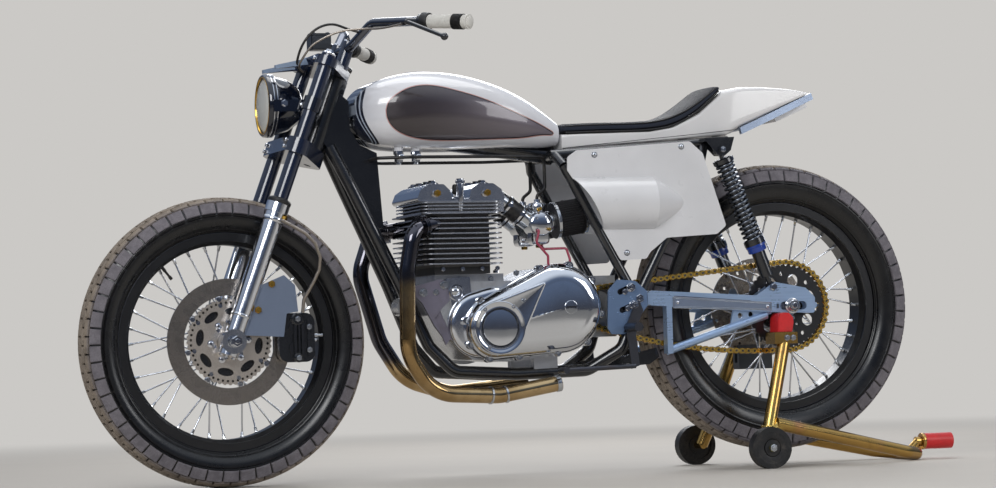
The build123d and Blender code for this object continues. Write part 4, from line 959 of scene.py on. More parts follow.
def front_brake_trim():
    """Ribs, a cover and bolts on the caliper, and the bracket's bolts."""
    ribs = Shape()
    for x0, x1, y in ((146, 152, -112), (156, 160, -113.5), (164, 170, -112), (180, 186, -107)):
        ribs.press([(x0, 304), (x1, 304), (x1, 388), (x0, 388)], y, -101)
    ribs.turn([(0, 101), (15, 101), (15, 112), (12, 115), (0, 115)], (155, 0, 391), LEFT, 28)
    ribs.turn([(0, 101), (11, 101), (11, 112), (9, 114), (0, 114)], (156, 0, 300), LEFT, 28)
    ribs.piece("caliper_ribs", BLACK, "steering", 30)
    bolts = Shape().copies(sized(HEX, 0.9),
                           [(155, -115, 391), (156, -114, 300), (184, -107, 372), (184, -107, 318)], LEFT)
    bolts.copies(stacked([(5, 0), (5, 12), (3.2, 13), (3.2, 20), (4.2, 20.5), (4.2, 24)], 12),
                 [(196, -88, 352)], BACK)
    bolts.piece("caliper_bolts", STEEL, "steering")
    gold = Shape().copies(sized(HEX, 1.1), [(96, -108.4, 474), (62, -108.4, 414)], LEFT)
    gold.copies(sized(HEX, 1.15), [fork(19, -FORK_Y - 14, 312)], [FORK_BACK * 0.8 + np.array((0, -0.6, 0))])
    gold.piece("bracket_bolts", BRASS, "steering")


front_brake_trim()


# Fork, lamp and bars
def fork_trim():
    """Seals, top nuts, the sliders' rings and drain screws, clamp screws and the front axle's nuts."""
    sides = (-FORK_Y, FORK_Y)
    seals = Shape()
    for v in sides:
        seals.turn([(17.6, 340), (27.5, 340), (28.5, 343), (28.5, 349), (25, 353), (20, 355), (17.6, 355)],
                   fork(0, v, 0), FORK_UP, 40)
    seals.piece("fork_seals", RUBBER, "steering")
    trim = Shape()
    for v in sides:
        trim.turn([(0, 714), (15, 714), (16.5, 716), (16.5, 719), (11, 722), (9, 728), (0, 728)],
                  fork(0, v, 0), FORK_UP, 32)
        trim.turn(band(24.05, 25.6, 296, 308, 2), fork(0, v, 0), FORK_UP, 40)
        trim.turn(band(24.05, 25.4, 60, 68, 2), fork(0, v, 0), FORK_UP, 40)
        trim.copies(HEX, [fork(-24, v, 40)], [-FORK_BACK])
        for w in (LOWER_YOKE - 8, LOWER_YOKE + 8):
            trim.copies(SCREW, [fork(-30, v * 0.94, w)], [-FORK_BACK])
        trim.copies(SCREW, [fork(-28, v * 0.94, TOP_YOKE)], [-FORK_BACK])
        for u in (-7, 7):
            trim.copies(SCREW, [fork(u * 2.2, v, -35.0)], [-FORK_UP])
    for v in (-45, 45):
        trim.copies(SCREW, [fork(50 + u, v, 771) for u in (-9, 9)], [FORK_UP])
    trim.both(sized(NUT, 1.9), (0, 137.5, 342))
    trim.piece("fork_trim", CHROME, "steering")


fork_trim()


def lamp():
    """The bowl with its reflector, the ring with its bead and seams, the light bars, the glass, the bulb and
    the bolts."""
    bowl = [(66, 1), (60, 14), (48, 30), (30, 44), (12, 50), (0, 51), (0, 92), (20, 90), (44, 78), (62, 52),
            (70, 22), (73.5, 14), (72, 6), (67, 2)]
    shell = Shape().turn(bowl, LAMP_AT, BACK, 96, ring=False)
    shell.piece("lamp_bowl", NAVY, "steering", instead=("headlamp_shell",))
    inside = [(65.6, 0.5), (59, 13), (47, 29), (29, 42.5), (12, 48), (0, 49), (0, 49.5), (12, 48.6),
              (29.4, 43.2), (47.5, 29.6), (59.6, 13.4), (66.2, 0.5)]
    Shape().turn(inside, LAMP_AT, BACK, 96, ring=False).piece("lamp_reflector", REFLECTOR, "steering")
    ring = [(65.5, -3.5), (68, -6.5), (72, -6.5), (75, -3), (75.6, 3), (75, 14), (72.4, 15), (72.4, 3),
            (66, 1)]
    Shape().turn(ring, LAMP_AT, BACK, 96).piece("lamp_ring", NAVY, "steering")
    bead = Shape().turn([(65.2, -3.6), (66.4, -6.8), (68.6, -7.4), (69.6, -6.4), (68, -3)], LAMP_AT, BACK, 96)
    bead.piece("lamp_bead", BRASS, "steering")
    seams = Shape().turn(band(75.2, 76.1, 5, 7.6, 0.6), LAMP_AT, BACK, 96)
    seams.turn([(74.6, 13), (75.6, 13.6), (75.6, 15), (74.2, 15.6)], LAMP_AT, BACK, 96)
    seams.piece("lamp_seams", CHROME, "steering")
    bars = Shape()
    for v in (-60, 60):
        bars.press([(130.6, 982.6), (130.6, 991.4), (205, 1006.6), (210, 992.6)], v - 6.6, v + 6.6)
    bars.piece("lamp_bars", LIGHT_BAR, "steering", 30)
    outer = through([(0.01, -13.8), (33, -10.8), (56, -5.6), (65, -0.6)], 24)
    inner = through([(62.5, 0.2), (55, -3.2), (33, -8.4), (0.01, -11.4)], 24)
    pane = Shape().turn(np.vstack([outer, inner]), LAMP_AT, BACK, 96, ring=False)
    pane.piece("lamp_glass", GLASS, "steering", instead=("headlamp_lens",))
    bulb = Shape().turn([(0, 26), (7, 24), (9, 30), (9, 40), (13, 42), (13, 48), (0, 48)], LAMP_AT, BACK, 24)
    bulb.turn(band(62, 64.6, -0.2, 1.8), LAMP_AT, BACK, 96)
    bulb.piece("lamp_bulb", BRASS, "steering")
    bolts = Shape().both(sized(HEX, 1.2), (146, 81.2, 900)).both(BUTTON, (188, 81.2, 896))
    bolts.piece("lamp_bolts", CHROME, "steering")


lamp()


BAR_BEND = np.array((410.0, -293.0, 1071.0))
BAR_END = np.array((504.0, -413.0, 1057.0))


def on_bar(t, s):
    """A place t mm in from the bar's end along its straight grip stretch."""
    return (BAR_END + unit(BAR_BEND - BAR_END) * t) * (1, -s, 1)


def controls():
    """Grips as turned lines with fine ribs and flanges, end plugs, and the master cylinder's cap."""
    grips, ends, black = Shape(), Shape(), Shape()
    for s in (-1, 1):
        axis = unit(on_bar(100.0, s) - on_bar(0.0, s))
        t = np.linspace(3, 113, 221)
        r = 15.4 + 0.7 * np.clip(np.sin(t * 1.9) * 1.6, -1, 1)
        r = np.where(t < 8, 17.5, r)
        profile = np.vstack([[(11.5, 3)], np.stack([r, t], -1), [(11.5, 113)]])
        grips.turn(profile, on_bar(0.0, s), axis, 36)
        ends.turn([(0, -1.5), (9, -1.5), (12.5, 0), (13, 3), (11.4, 3.2), (0, 3.2)], on_bar(0.0, s), axis, 28)
        t = np.linspace(19, 45, 79)
        r = 17.4 + 0.8 * np.clip(np.sin(t * 2.4) * 2, -1, 1)
        ribbed = np.vstack([[(15, 19)], np.stack([r, t], -1), [(15, 45)]])
        black.turn(ribbed, on_bar(0.0, s), axis, 40)
        black.turn([(11.2, 113.2), (19, 113.2), (20.2, 115), (20.2, 120), (21, 124), (21, 131), (16, 133),
                    (16, 142), (11.2, 142)], on_bar(0.0, s), axis, 32)
    grips.piece("grip_rubbers", WHITE_GRIP, "steering", instead=("grips",))
    ends.piece("bar_ends", WHITE_GRIP, "steering")
    black.piece("grip_bands", RUBBER, "steering")
    cap = Shape().box((304, 243, 1096.2), (352, 289, 1101))
    cap.copies(BUTTON, [(310, 249, 1101), (346, 249, 1101), (310, 283, 1101), (346, 283, 1101)], UP)
    cap.box((303, 242, 1062), (304.6, 290, 1095))
    cap.box((303, 242, 1062), (353, 243.6, 1095))
    cap.piece("reservoir_cap", GUN, "steering")


controls()


def bar_cables():
    """Two held cables: from the clutch lever's perch and from the bar, down in front of the top yoke."""
    pale = Shape().pipe(through([(385, -262, 1068), (349, -190, 1065), (323, -150, 1068), (293, -138, 1067),
                                 (263, -128, 1061), (233, -118, 1048), (210, -108, 1033), (190, -92, 1004),
                                 (186, -74, 985), (198, -64, 975)], 90), 2.6, 10, UP)
    pale.piece("clutch_cable", BRAID, "steering", 80)
    dark = Shape().pipe(through([(330, -96, 1066), (290, -96, 1078), (269, -98, 1084), (233, -98, 1078),
                                 (212, -96, 1064), (196, -90, 1044), (184, -74, 1010), (186, -60, 985),
                                 (200, -50, 975)], 90), 3, 10, UP)
    dark.piece("switch_cable", HOSE, "steering", 80)


bar_cables()


# Bodywork
PANEL_LINE = [(387, 880), (389, 861), (400, 842), (424, 826), (462, 815), (539, 810), (663, 813),
              (747, 818), (800, 823.5), (817, 825.5), (806, 832), (770, 848), (709, 871), (627, 902),
              (546, 925), (510, 933), (476, 935.5), (440, 929), (408, 912), (392, 896)]


def tank_panel():
    """The outline drawn in towards its own middle, and two pinstripes beside it."""
    line = through([*PANEL_LINE, PANEL_LINE[0]], 241)[:-1]
    middle = np.array((560, 868))
    run = unit(np.roll(line, -1, 0) - np.roll(line, 1, 0))
    out = np.stack([run[:, 1], -run[:, 0]], -1)
    if np.mean(np.sum(out * (line - middle), 1)) < 0:
        out = -out
    for side in (-1, 1):
        tag = "left" if side < 0 else "right"

        def raised(flat):
            return np.stack([flat[..., 0], np.full(flat.shape[:-1], side * 160.0), flat[..., 1]], -1)

        spine_x = np.clip(line[:, 0], 430, 770)
        spine = np.stack([spine_x, 868 - 38 * (spine_x - 430) / 340], -1)
        steps = np.linspace(0, 1, 26)[:, None, None]
        rows = [("tank_panel_" + tag, PANEL, line + (spine - line) * steps, 0.00025),
                ("pinstripe_dark_" + tag, BLACK, line + out * np.array([0.0, 2.2])[:, None, None], 0.0005),
                ("pinstripe_rose_" + tag, PINSTRIPE, line + out * np.array([2.2, 4.2])[:, None, None],
                 0.0004)]
        for name, finish, flat, lift in rows:
            laid_on_side(raised(flat), name, finish, lift, side)


def laid_on_side(points, name, finish, lift, side):
    """A grid drawn on the tank by looking along Y at it from one side, lifted off it by lift metres."""
    made = Shape().add(grid(points)).piece(name, finish, angle=80)
    drop = made.modifiers.new("drop", "SHRINKWRAP")
    drop.target = NODES["fuel_tank"]
    drop.wrap_method = "PROJECT"
    drop.use_project_x = drop.use_project_z = False
    drop.use_project_y = True
    drop.use_positive_direction = side < 0
    drop.use_negative_direction = side > 0
    drop.offset = lift
    drop.wrap_mode = "OUTSIDE_SURFACE"
    laid = bpy.data.meshes.new_from_object(made.evaluated_get(bpy.context.evaluated_depsgraph_get()))
    made.modifiers.clear()
    made.data = laid
    made.data.shade_smooth()


tank_panel()


def low_neck():
    """The tank's own skin with the filler's neck sunk to the crown: the places of its rim drop to one
    height."""
    mesh = NODES["fuel_tank"].data.copy()
    at = np.empty(3 * len(mesh.vertices), np.float32)
    mesh.vertices.foreach_get("co", at)
    at = at.reshape(-1, 3)
    crown = 0.9765
    rim = (np.hypot(at[:, 0] * 1000 + X_MID - FILLER_X, at[:, 1] * 1000) < 35.5) & (at[:, 2] > crown)
    at[:, 2] = np.where(rim, crown, at[:, 2])
    mesh.vertices.foreach_set("co", at.ravel())
    mesh.update()
    mesh.materials.clear()
    mesh.materials.append(TANK.material)
    made = bpy.data.objects.new("tank_skin", mesh)
    bpy.context.scene.collection.objects.link(made)
    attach(made, "chassis")
    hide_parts("fuel_tank")


low_neck()


def tank_trim():
    """A flush filler cap with a knurled edge, and the fuel taps' nuts."""
    cap = [(0, 975), (35, 975), (35.4, 977), (34, 978.6), (22, 980), (0, 980.4)]
    knurl = Shape().turn(cap, (FILLER_X, 0, 0), UP, 72)
    knurl.copies(boxed((-1, -1, 0), (1, 1, 2.4)), ring_of_flat(36, 35, (FILLER_X, 0), 975.6), UP)
    knurl.piece("tank_cap", TANK)
    taps = Shape()
    for x in (428, 471):
        taps.copies(stacked([(11.5, 0), (12.6, 1), (12.6, 8), (11.5, 9)], 6), [(x, -60, 777)], UP)
        taps.copies(stacked([(7.5, 0), (7.5, 14), (6, 15)], 12), [(x, -74, 770)], LEFT)
    taps.piece("tap_nuts", CHROME)


def ring_of_flat(count, radius, middle, z):
    """Places round a circle seen from above."""
    a = 2 * pi * np.arange(count) / count
    return np.stack([middle[0] + radius * np.cos(a), middle[1] + radius * np.sin(a), np.full(count, z)], -1)


tank_trim()


def seat_pad():
    """A crowned pad: each cross-section is a rounded oblong whose top rises in the middle; cross ribs on
    the flat."""
    rows, sides = 300, 96
    top = through([(848, 847), (950, 849.5), (1050, 852), (1108, 862), (1170, 889), (1215, 919),
                   (1243, 940)], rows)
    low = through([(844, 826), (950, 827.5), (1058, 830), (1118, 840), (1186, 875), (1226, 908),
                   (1251, 930)], rows)
    plan_x = [840, 930, 1050, 1250]
    half = np.interp((top[:, 0] + low[:, 0]) / 2, plan_x, [58, 79, 91.5, 91.5])
    share = np.linspace(0, 1, rows)
    ends = np.clip(np.minimum(share, 1 - share) / 0.02, 0, 1)
    ends = np.sqrt(1 - (1 - ends) ** 2)
    a = np.linspace(0, 2 * pi, sides, endpoint=False)
    across = np.sign(np.cos(a)) * np.abs(np.cos(a)) ** 0.42
    lift = 0.5 + 0.5 * np.sign(np.sin(a)) * np.abs(np.sin(a)) ** 0.55
    crown = np.where(np.sin(a) > 0, 1 - across**2, 0)
    run = np.cumsum(np.concatenate([[0], np.linalg.norm(np.diff(top, axis=0), axis=1)]))
    ribs = 1.1 * np.sin(run * 2 * pi / 9.0) * (np.clip((1068 - top[:, 0]) / 20, 0, 1))
    upper = np.clip((lift - 0.6) / 0.3, 0, 1) * np.clip((0.9 - np.abs(across)) / 0.05, 0, 1)
    rise = top - low
    middle = (top + low) / 2
    points = np.zeros((rows, sides, 3))
    scale = ends[:, None]
    height = (lift[None] - 0.5) * scale + 0.5
    body = low[:, None] + rise[:, None] * height[..., None]
    body[..., 1] += 3.2 * crown[None] * scale + ribs[:, None] * upper[None]
    points[..., 0], points[..., 2] = body[..., 0], body[..., 1]
    points[..., 1] = across[None] * half[:, None] * (0.9 + 0.1 * scale)
    points = np.concatenate([np.repeat(points[:1].mean(1, keepdims=True), sides, 1), points,
                             np.repeat(points[-1:].mean(1, keepdims=True), sides, 1)])
    pad = Shape().add(grid(points)).piece("seat_pad_cover", LEATHER, angle=60, instead=("seat_pad",))
    piping = Shape()
    for s in (-1, 1):
        edge = np.stack([top[:, 0], s * (half - 2.0), top[:, 1] - 3.5], -1)[6:-6]
        piping.pipe(edge, 1.5, 8)
        edge = np.stack([low[:, 0], s * (half - 1.0), low[:, 1] + 1.2], -1)[6:-6]
        piping.pipe(edge, 2.2, 8)
    piping.piece("seat_piping", RUBBER, angle=80)


seat_pad()


def seat_shell():
    """The white base: a rounded oblong at each place along it, |y/a|^n + |z/b|^n = 1 with n near 9, whose
    plan follows a smooth curve; a thin dark joint runs along its side."""
    sides = 96
    x = np.concatenate([np.linspace(842, 1180, 60), np.linspace(1184, 1494, 100)])
    low = np.interp(x, [826, 1265, 1300, 1494], [785, 815, 836, 918])
    top = np.interp(x, [842, 1060, 1120, 1190, 1256, 1310, 1370, 1440, 1490, 1494],
                    [824, 828, 838, 872, 928, 937, 937, 933, 926, 925.2])
    plan = through([(826, 52), (842, 60), (930, 80), (1050, 91.2), (1200, 91.8), (1300, 86), (1380, 76),
                    (1500, 55)], 400)
    half = np.interp(x, plan[:, 0], plan[:, 1])
    a = np.linspace(0, 2 * pi, sides, endpoint=False)
    across = np.sign(np.cos(a)) * np.abs(np.cos(a)) ** 0.2
    up = np.sign(np.sin(a)) * np.abs(np.sin(a)) ** 0.24
    rings = np.zeros((len(x), sides, 3))
    rings[..., 0] = x[:, None]
    rings[..., 1] = half[:, None] * across
    rings[..., 2] = ((top + low) / 2)[:, None] + ((top - low) / 2)[:, None] * up
    ends = [np.repeat(ring.mean(0)[None, None], sides, 1) for ring in (rings[0], rings[-1])]
    shell = Shape().add(grid(np.concatenate([ends[0], rings, ends[1]])))
    shell.piece("seat_shell", WHITE, angle=30, instead=("seat_base",))
    joint = Shape()
    run = through([(844, 789.5), (1000, 803.5), (1190, 820.5), (1292, 831)], 80)
    side = np.interp(run[:, 0], plan[:, 0], plan[:, 1])
    for s in (-1, 1):
        joint.pipe(np.stack([run[:, 0], s * (side - 0.2), run[:, 1]], -1), 0.8, 6)
    joint.piece("seat_joint", BLACK, angle=80)


seat_shell()


def plate_screws():
    """Three screws on washers in each side plate."""
    places = np.array([(897, 136.3, 768), (1122, 136.3, 786), (973, 136.3, 530)])
    screws = Shape().both(sized(WASHER, 0.8), places).both(BUTTON, places + (0, 1.4, 0))
    screws.piece("plate_screws", STEEL)


plate_screws()


# Engine
class Rounds:
    """The line round two circles: a place on it is centre + (radius - inset) * outward, with the inset kept
    from passing the circle's middle, so that the line draws in to the spine between the two middles."""

    def __init__(self, a, a_radius, b, b_radius, bend=48, straight=12):
        a, b = np.array(a), np.array(b)
        along = np.arctan2(b[1] - a[1], b[0] - a[0])
        lean = acos((a_radius - b_radius) / np.linalg.norm(b - a))
        step = np.linspace(0, 1, straight + 2)[1:-1]
        turn = along + np.concatenate([np.linspace(-lean, lean, bend), np.full(straight, lean),
                                       np.linspace(lean, 2 * pi - lean, bend), np.full(straight, -lean)])
        share = np.concatenate([np.ones(bend), 1 - step, np.zeros(bend), step])[:, None]
        self.centre = a + share * (b - a)
        self.radius = (a_radius + share * (b_radius - a_radius))[:, 0]
        self.outward = np.stack([np.cos(turn), np.sin(turn)], -1)

    def at(self, inset):
        return self.centre + np.maximum(self.radius - inset, 0)[:, None] * self.outward

    def raised(self, profile):
        """Rings at each inset and y of the profile."""
        rings = [(self.at(inset), y) for inset, y in profile]
        points = [np.stack([flat[:, 0], np.full(len(flat), y), flat[:, 1]], -1) for flat, y in rings]
        return grid(np.array(points))


def primary_cover():
    """A domed lid round the crank and the clutch, a collar with a pointed nose, its cap and a slotted
    plug."""
    edge = 42.0
    t = np.linspace(0, pi / 2, 16)
    rim = np.stack([edge * (1 - np.cos(t)), -123 - edge * np.sin(t)], -1)
    inset = np.linspace(edge, 108, 22)[1:]
    crown = np.stack([inset, -165 - 4.5 * (1 - ((108 - inset) / (108 - edge)) ** 2)], -1)
    lid = Shape().add(Rounds(CRANK, 76, CLUTCH, 108).raised([(108, -104.3), (0, -104.3), *rim, *crown]))
    lid.piece("cover_lid", MIRROR, angle=30, instead=("primary_cover",))
    lip = [(58, -130), (0, -130), (0, -167.5), (0.7, -169.8), (2.4, -171), (5, -171.3), (8, -170.7),
           (58, -170.7)]
    collar = Shape().add(Rounds(CRANK, 63, (748, 459), 4).raised(lip))
    collar.turn([(52, 170), (63, 170), (63.6, 172.4), (62, 173.4), (58, 173.4), (55, 172), (52, 171.6)],
                (CRANK[0], 0, CRANK[1]), LEFT, 96)
    collar.piece("cover_collar", MIRROR, angle=30)
    cap = [(0, 160), (50, 160), (50.5, 171.5), (49.5, 173.6), (46.6, 173.6), (45.8, 171.8), (43.2, 171.8),
           (42.4, 173.2), (30, 174.3), (15, 174.8), (0, 175)]
    caps = Shape().turn(cap, (CRANK[0], 0, CRANK[1]), LEFT, 96)
    caps.turn([(0, 160), (15.5, 160), (16, 171), (15, 172.6), (5, 173), (0, 173)], (814, 0, 402), LEFT, 48)
    caps.piece("cover_caps", MIRROR)
    # Painted shade: a black ring in the cap's groove and a black strip for the plug's slot.
    marks = Shape().turn(band(43.5, 45.6, 171.4, 172.2), (CRANK[0], 0, CRANK[1]), LEFT, 96)
    marks.box((801.5, -173.3, 400.4), (826.5, -172.2, 403.6))
    marks.piece("cover_groove_shade", BLACK)
    a = np.radians([116, 75, 38, -8, -50, -95])
    b = np.radians([118, 165, 212, 256])
    far = np.stack([CLUTCH[0] + 106 * np.cos(a), np.full(6, -116.0), CLUTCH[1] + 106 * np.sin(a)], -1)
    near = np.stack([CRANK[0] + 74 * np.cos(b), np.full(4, -116.0), CRANK[1] + 74 * np.sin(b)], -1)
    places = np.array([*far, *near, (716, -116, 464), (690, -116, 288)])
    ears = Shape().copies(stacked([(10, 0), (10, 22), (8.6, 24), (6, 24), (6, 21)], 20), places, LEFT)
    ears.piece("cover_ears", MIRROR)
    screws = Shape().copies(SCREW, places - (0, 21, 0), LEFT)
    screws.copies(SCREW, [(597, -170.6, 401), (605, -170.6, 310), (668, -170.6, 406), (694, -170.6, 420)],
                  LEFT)
    screws.piece("cover_screws", STEEL)


primary_cover()


def case_front():
    """The polished round of the case that shows in front of the cover, a lug and an engine mount, with bolts
    and a domed plug."""
    t = np.linspace(0, pi / 2, 10)
    rim = np.stack([16 * (1 - np.cos(t)), -106 - 16 * np.sin(t)], -1)
    face = Rounds((604, 366), 80, (642, 372), 84).raised([(84, -100), (0, -100), *rim, (84, -124)])
    Shape().add(face).piece("case_round", POLISHED, angle=30)
    bits = Shape().copies(HEX, [(517, -104, 462), (498, -104, 446), (700, -104, 488), (640, -92, 476),
                                (560, -92, 476)], LEFT)
    bits.copies(stacked([(13, -1), (13, 3), (11, 7), (6, 9.4), (2, 10)], 24), [(545, -104, 447)], LEFT)
    bits.copies(sized(NUT, 1.1), [(538, -100, 500), (580, -100, 503)], LEFT)
    bits.copies(sized(WASHER, 1.1), [(466, -106, 446), (518, -106, 463)], LEFT)
    bits.copies(sized(HEX, 1.1), [(466, -107, 446), (518, -107, 463)], LEFT)
    bits.piece("case_bolts", STEEL)
    lug = [(522, 478), (582, 481), (586, 428), (556, 404), (546, 380), (537, 362), (525, 362), (525, 384),
           (536, 406), (534, 426), (528, 447)]
    parts = Shape().press(lug, -107.6, -96)
    parts.turn([(0, -1), (19, -1), (19, 3), (17.4, 4.4), (14.6, 4.4), (14, 2.6), (0, 2.6)],
               (548, -107, 444), LEFT, 40)
    parts.piece("case_lug", POLISHED, angle=30)
    mount = [(444, 461), (506, 476), (524, 474), (528, 447), (532, 426), (512, 408), (494, 385), (512, 339),
             (492, 366), (463, 421), (447, 437)]
    plate = Shape().press(mount, -105, -96)
    plate.press([(505, 400), (532, 425), (536, 406), (525, 384), (524, 362), (536, 340), (520, 320),
                 (512, 339), (496, 384)], -102, -96)
    plate.piece("case_mount", MOUNT, angle=30)


case_front()


def header_rings():
    """Slip joints along the low run of the left pipe, and a lip at its end."""
    rings = Shape()
    for centre, along in (((618, -130.3, 197.2), unit((170, 18, -9))),
                          ((657, -127.8, 198.8), unit((156, 2, 26)))):
        rings.turn(band(19.1, 21.4, -3, 3, 1), centre, along, 48)
    back = unit((156, 2, 26))
    rings.turn(band(19.1, 20.6, -12, 0, 1), (795.5, -126, 221.9), back, 48)
    rings.piece("header_rings", STEEL)


header_rings()


def engine_trim():
    """Nuts of the rocker spindles, bolts of the head and the caps on it, nuts of the barrel's foot, and the
    rocker feed tube."""
    nut = stacked([(8.5, 0), (8.5, 7), (7.4, 8), (4, 8), (4, 5)], 6)
    Shape().both(nut, [(x, 114.5, 681) for x in ROCKER_X]).piece("spindle_nuts", BRASS)
    bits = Shape().copies(HEX, mirrored([(x, 98, 667) for x in (476, 520, 556, 600, 660)]))
    cap = stacked([(12.5, 0), (12.5, 2.2), (9, 2.8), (9, 6), (8, 7)], 6)
    bits.copies(cap, mirrored([(x, y, 706.5) for x in ROCKER_X for y in (30, 74)]))
    for x in (512, 561, 610, 648):
        bits.copies(NUT, mirrored([(x, 108, 489)])).both(sized(NUT, 0.8), (x, 119, 500))
    bits.piece("engine_bolts", CHROME)
    tube = Shape().pipe(through([(566, -96, 640), (567, -98, 670), (568, -98, 716)], 20), 9, 20, BACK)
    tube.turn(band(9, 11.5, 0, 8, 1), (568, -98, 705), UP, 24)
    tube.piece("rocker_feed_tube", CHROME)


engine_trim()


def plate_hole_shade():
    """A dark sheet of painted shade behind the long holes of the gearbox plates, and a large nut at the end
    of each hole.
    """
    # Painted shade: dark sheets seen through the plates' long holes.
    shade_sheets = Shape()
    for s in (-1, 1):
        shade_sheets.box((926, s * 133.6, 376), (992, s * 132.4, 454))
    shade_sheets.piece("plate_hole_shade", BLACK, angle=30)
    places = np.array([(978, 141.8, 446), (984, 141.8, 404)])
    nuts = Shape().both(sized(WASHER, 1.15), places).both(sized(NUT, 1.35), places + (0, 1.6, 0))
    nuts.piece("plate_nuts", CHROME)


plate_hole_shade()


def spark_plugs():
    """A hexagon, a white insulator and a black cap for each cylinder, between the rocker boxes."""
    places = mirrored([(565, -66, 662)])
    up = [(0, -0.25, 1), (0, 0.25, 1)]
    Shape().copies(stacked([(11, 0), (11, 9), (9, 10)], 6), places, up).piece("plug_bodies", STEEL)
    Shape().copies(stacked([(6, 9), (6, 22), (5, 23)], 16), places, up).piece("plug_insulators", WHITE)
    cap = stacked([(8.5, 20), (9.5, 22), (9.5, 38), (8, 42), (4.4, 43)], 20)
    Shape().copies(cap, places, up).piece("plug_caps", RUBBER)


spark_plugs()


def squared(half_x, half_y, rings, sides=48, power=6.0):
    """Rings of a rounded square |x/a|^p + |y/b|^p = 1, each a share of its full size at a height, closed at
    both ends."""
    a = 2 * pi * np.arange(sides) / sides
    reach = (np.abs(np.cos(a)) ** power + np.abs(np.sin(a)) ** power) ** (-1 / power)
    flat = np.stack([half_x * reach * np.cos(a), half_y * reach * np.sin(a)], -1)
    return lidded(np.stack([np.column_stack([flat * share, np.full(sides, z)]) for share, z in rings]))


def carburettor_trim():
    """Round-cornered float bowls with a screwed flange, side covers, knurled caps and brass adjusters, and
    the sleeves and bands between them and the head."""
    bowls, bits, brass = Shape(), Shape(), Shape()
    bowl = [(0.55, -50), (0.82, -48), (0.95, -44), (1.0, -38), (1.0, -16), (1.16, -15.5), (1.16, -12),
            (0.9, -11.5)]
    for s in (-1, 1):
        y = 54.0 * s
        points, faces = squared(23, 23, bowl)
        bowls.add((points + (777, y, 606), faces))
        bowls.turn([(0, 26), (24, 26), (27, 27.5), (27, 31), (24, 33), (10, 34.5), (0, 35)], (776, y, 606),
                   (0, s, 0), 48)
        cap = [(0, 40), (20.5, 40), (21.5, 41), (21.5, 49), (20, 51), (8, 53), (7.5, 60), (6.4, 61), (0, 61)]
        bowls.turn(cap, (776, y, 606), UP, 48)
        corners = [(777 + dx, y + dy, 596) for dx in (-21, 21) for dy in (-21, 21)]
        bits.copies(sized(SCREW, 0.7), corners, UP)
        bits.copies(sized(SCREW, 0.75), ring_of(4, 19, (776, 0, 606), y + 31.5 * s, 45), (0, s, 0))
        bits.copies(sized(NUT, 0.9), [(676, y + 18 * k, 650 + 2 * k) for k in (-1, 1)], BACK)
        along = unit((cos(FILTER_TILT), 0, sin(FILTER_TILT)))
        for t in (16, 30):
            bowls.turn(band(23, 25.5, t, t + 7, 1), (770, y, 607), along, 40)
        brass.copies(stacked([(4.5, 0), (4.5, 5), (3, 6), (3, 13), (4.4, 13.6), (4.4, 17), (3.6, 18)], 10),
                     [(792, y + 24 * s, 590), (770, y + 24 * s, 640)], (0, s, 0.15))
        brass.copies(stacked([(8, 0), (8, 6), (6.5, 7)], 6), [(777, y, 556)], (0, 0, -1))
        for t in (50, 120):
            bits.turn(band(44.05, 44.9, t - 3.6, t + 3.6), (770, y, 607), along, 72)
        clip = np.array((770, y, 607)) + along * 50 + (0, 45 * s, 0)
        bits.box(clip + (-3, -3, -7), clip + (3, 3, 7))
    necks, bands = Shape(), Shape()
    down = unit((102, 0, -76))
    for s in (-1, 1):
        start = np.array((650, 54.0 * s, 688))
        necks.turn([(22.2, 52), (24.2, 54), (24.2, 72), (23, 78), (24.2, 84), (24.2, 104), (22.2, 106)],
                   start, down, 48)
        for t in (58, 95):
            bands.turn(band(24.3, 25.6, t, t + 6.6, 0.6), start, down, 48)
            bands.box(start + down * (t + 3) + (-6, 24 * s, -4), start + down * (t + 3) + (6, 30 * s, 4))
    necks.piece("intake_sleeves", HOSE)
    bands.piece("intake_bands", CHROME)
    bowls.piece("carburettor_parts", CHROME)
    bits.piece("carburettor_screws", STEEL)
    brass.piece("carburettor_jets", BRASS)


def filter_pleats():
    """A sleeve round each filter whose radius waves with the turn: 41.9 + 1.3 cos(44 a)."""
    along = unit((cos(FILTER_TILT), 0, sin(FILTER_TILT)))
    x, y = square_to(along)
    a = np.linspace(0, 2 * pi, 264, endpoint=False)
    r = 41.9 + 1.3 * np.cos(44 * a)
    ring = r[:, None] * (np.cos(a)[:, None] * x + np.sin(a)[:, None] * y)
    sleeves = Shape()
    for s in (-1, 1):
        start = np.array((770, 54.0 * s, 607))
        rows = [(0.96, 56.3), (1.0, 57), (1.0, 70), (1.0, 84), (1.0, 98), (1.0, 113), (0.96, 113.8)]
        sleeves.add(grid(np.stack([start + along * t + ring * share for share, t in rows])))
        end = [(0, 124.2), (18, 124.2), (20, 126), (40, 126), (43, 124.6), (43, 123.9), (0, 123.9)]
        sleeves.turn(end, start, along, 72)
    sleeves.piece("filter_pleats", GAUZE, angle=60)


carburettor_trim()
filter_pleats()


# Rear end
def helix(turns, top, foot, y, radius, wire, steps=26):
    """Wire round the damper's line: p = top + t * along + radius * (cos a, sin a), with t set by the turns
    so far."""
    along = unit(np.array((foot[0] - top[0], 0, foot[1] - top[1])))
    x, side = square_to(along)
    marks = np.asarray(turns, float)
    a = np.linspace(0, len(marks) - 1, (len(marks) - 1) * steps + 1)
    t = np.interp(a, np.arange(len(marks)), marks)
    start = np.array((top[0], y, top[1]))
    path = start + t[:, None] * along + radius * (np.cos(2 * pi * a)[:, None] * x
                                                  + np.sin(2 * pi * a)[:, None] * side)
    return piped(path, wire, 10, along)


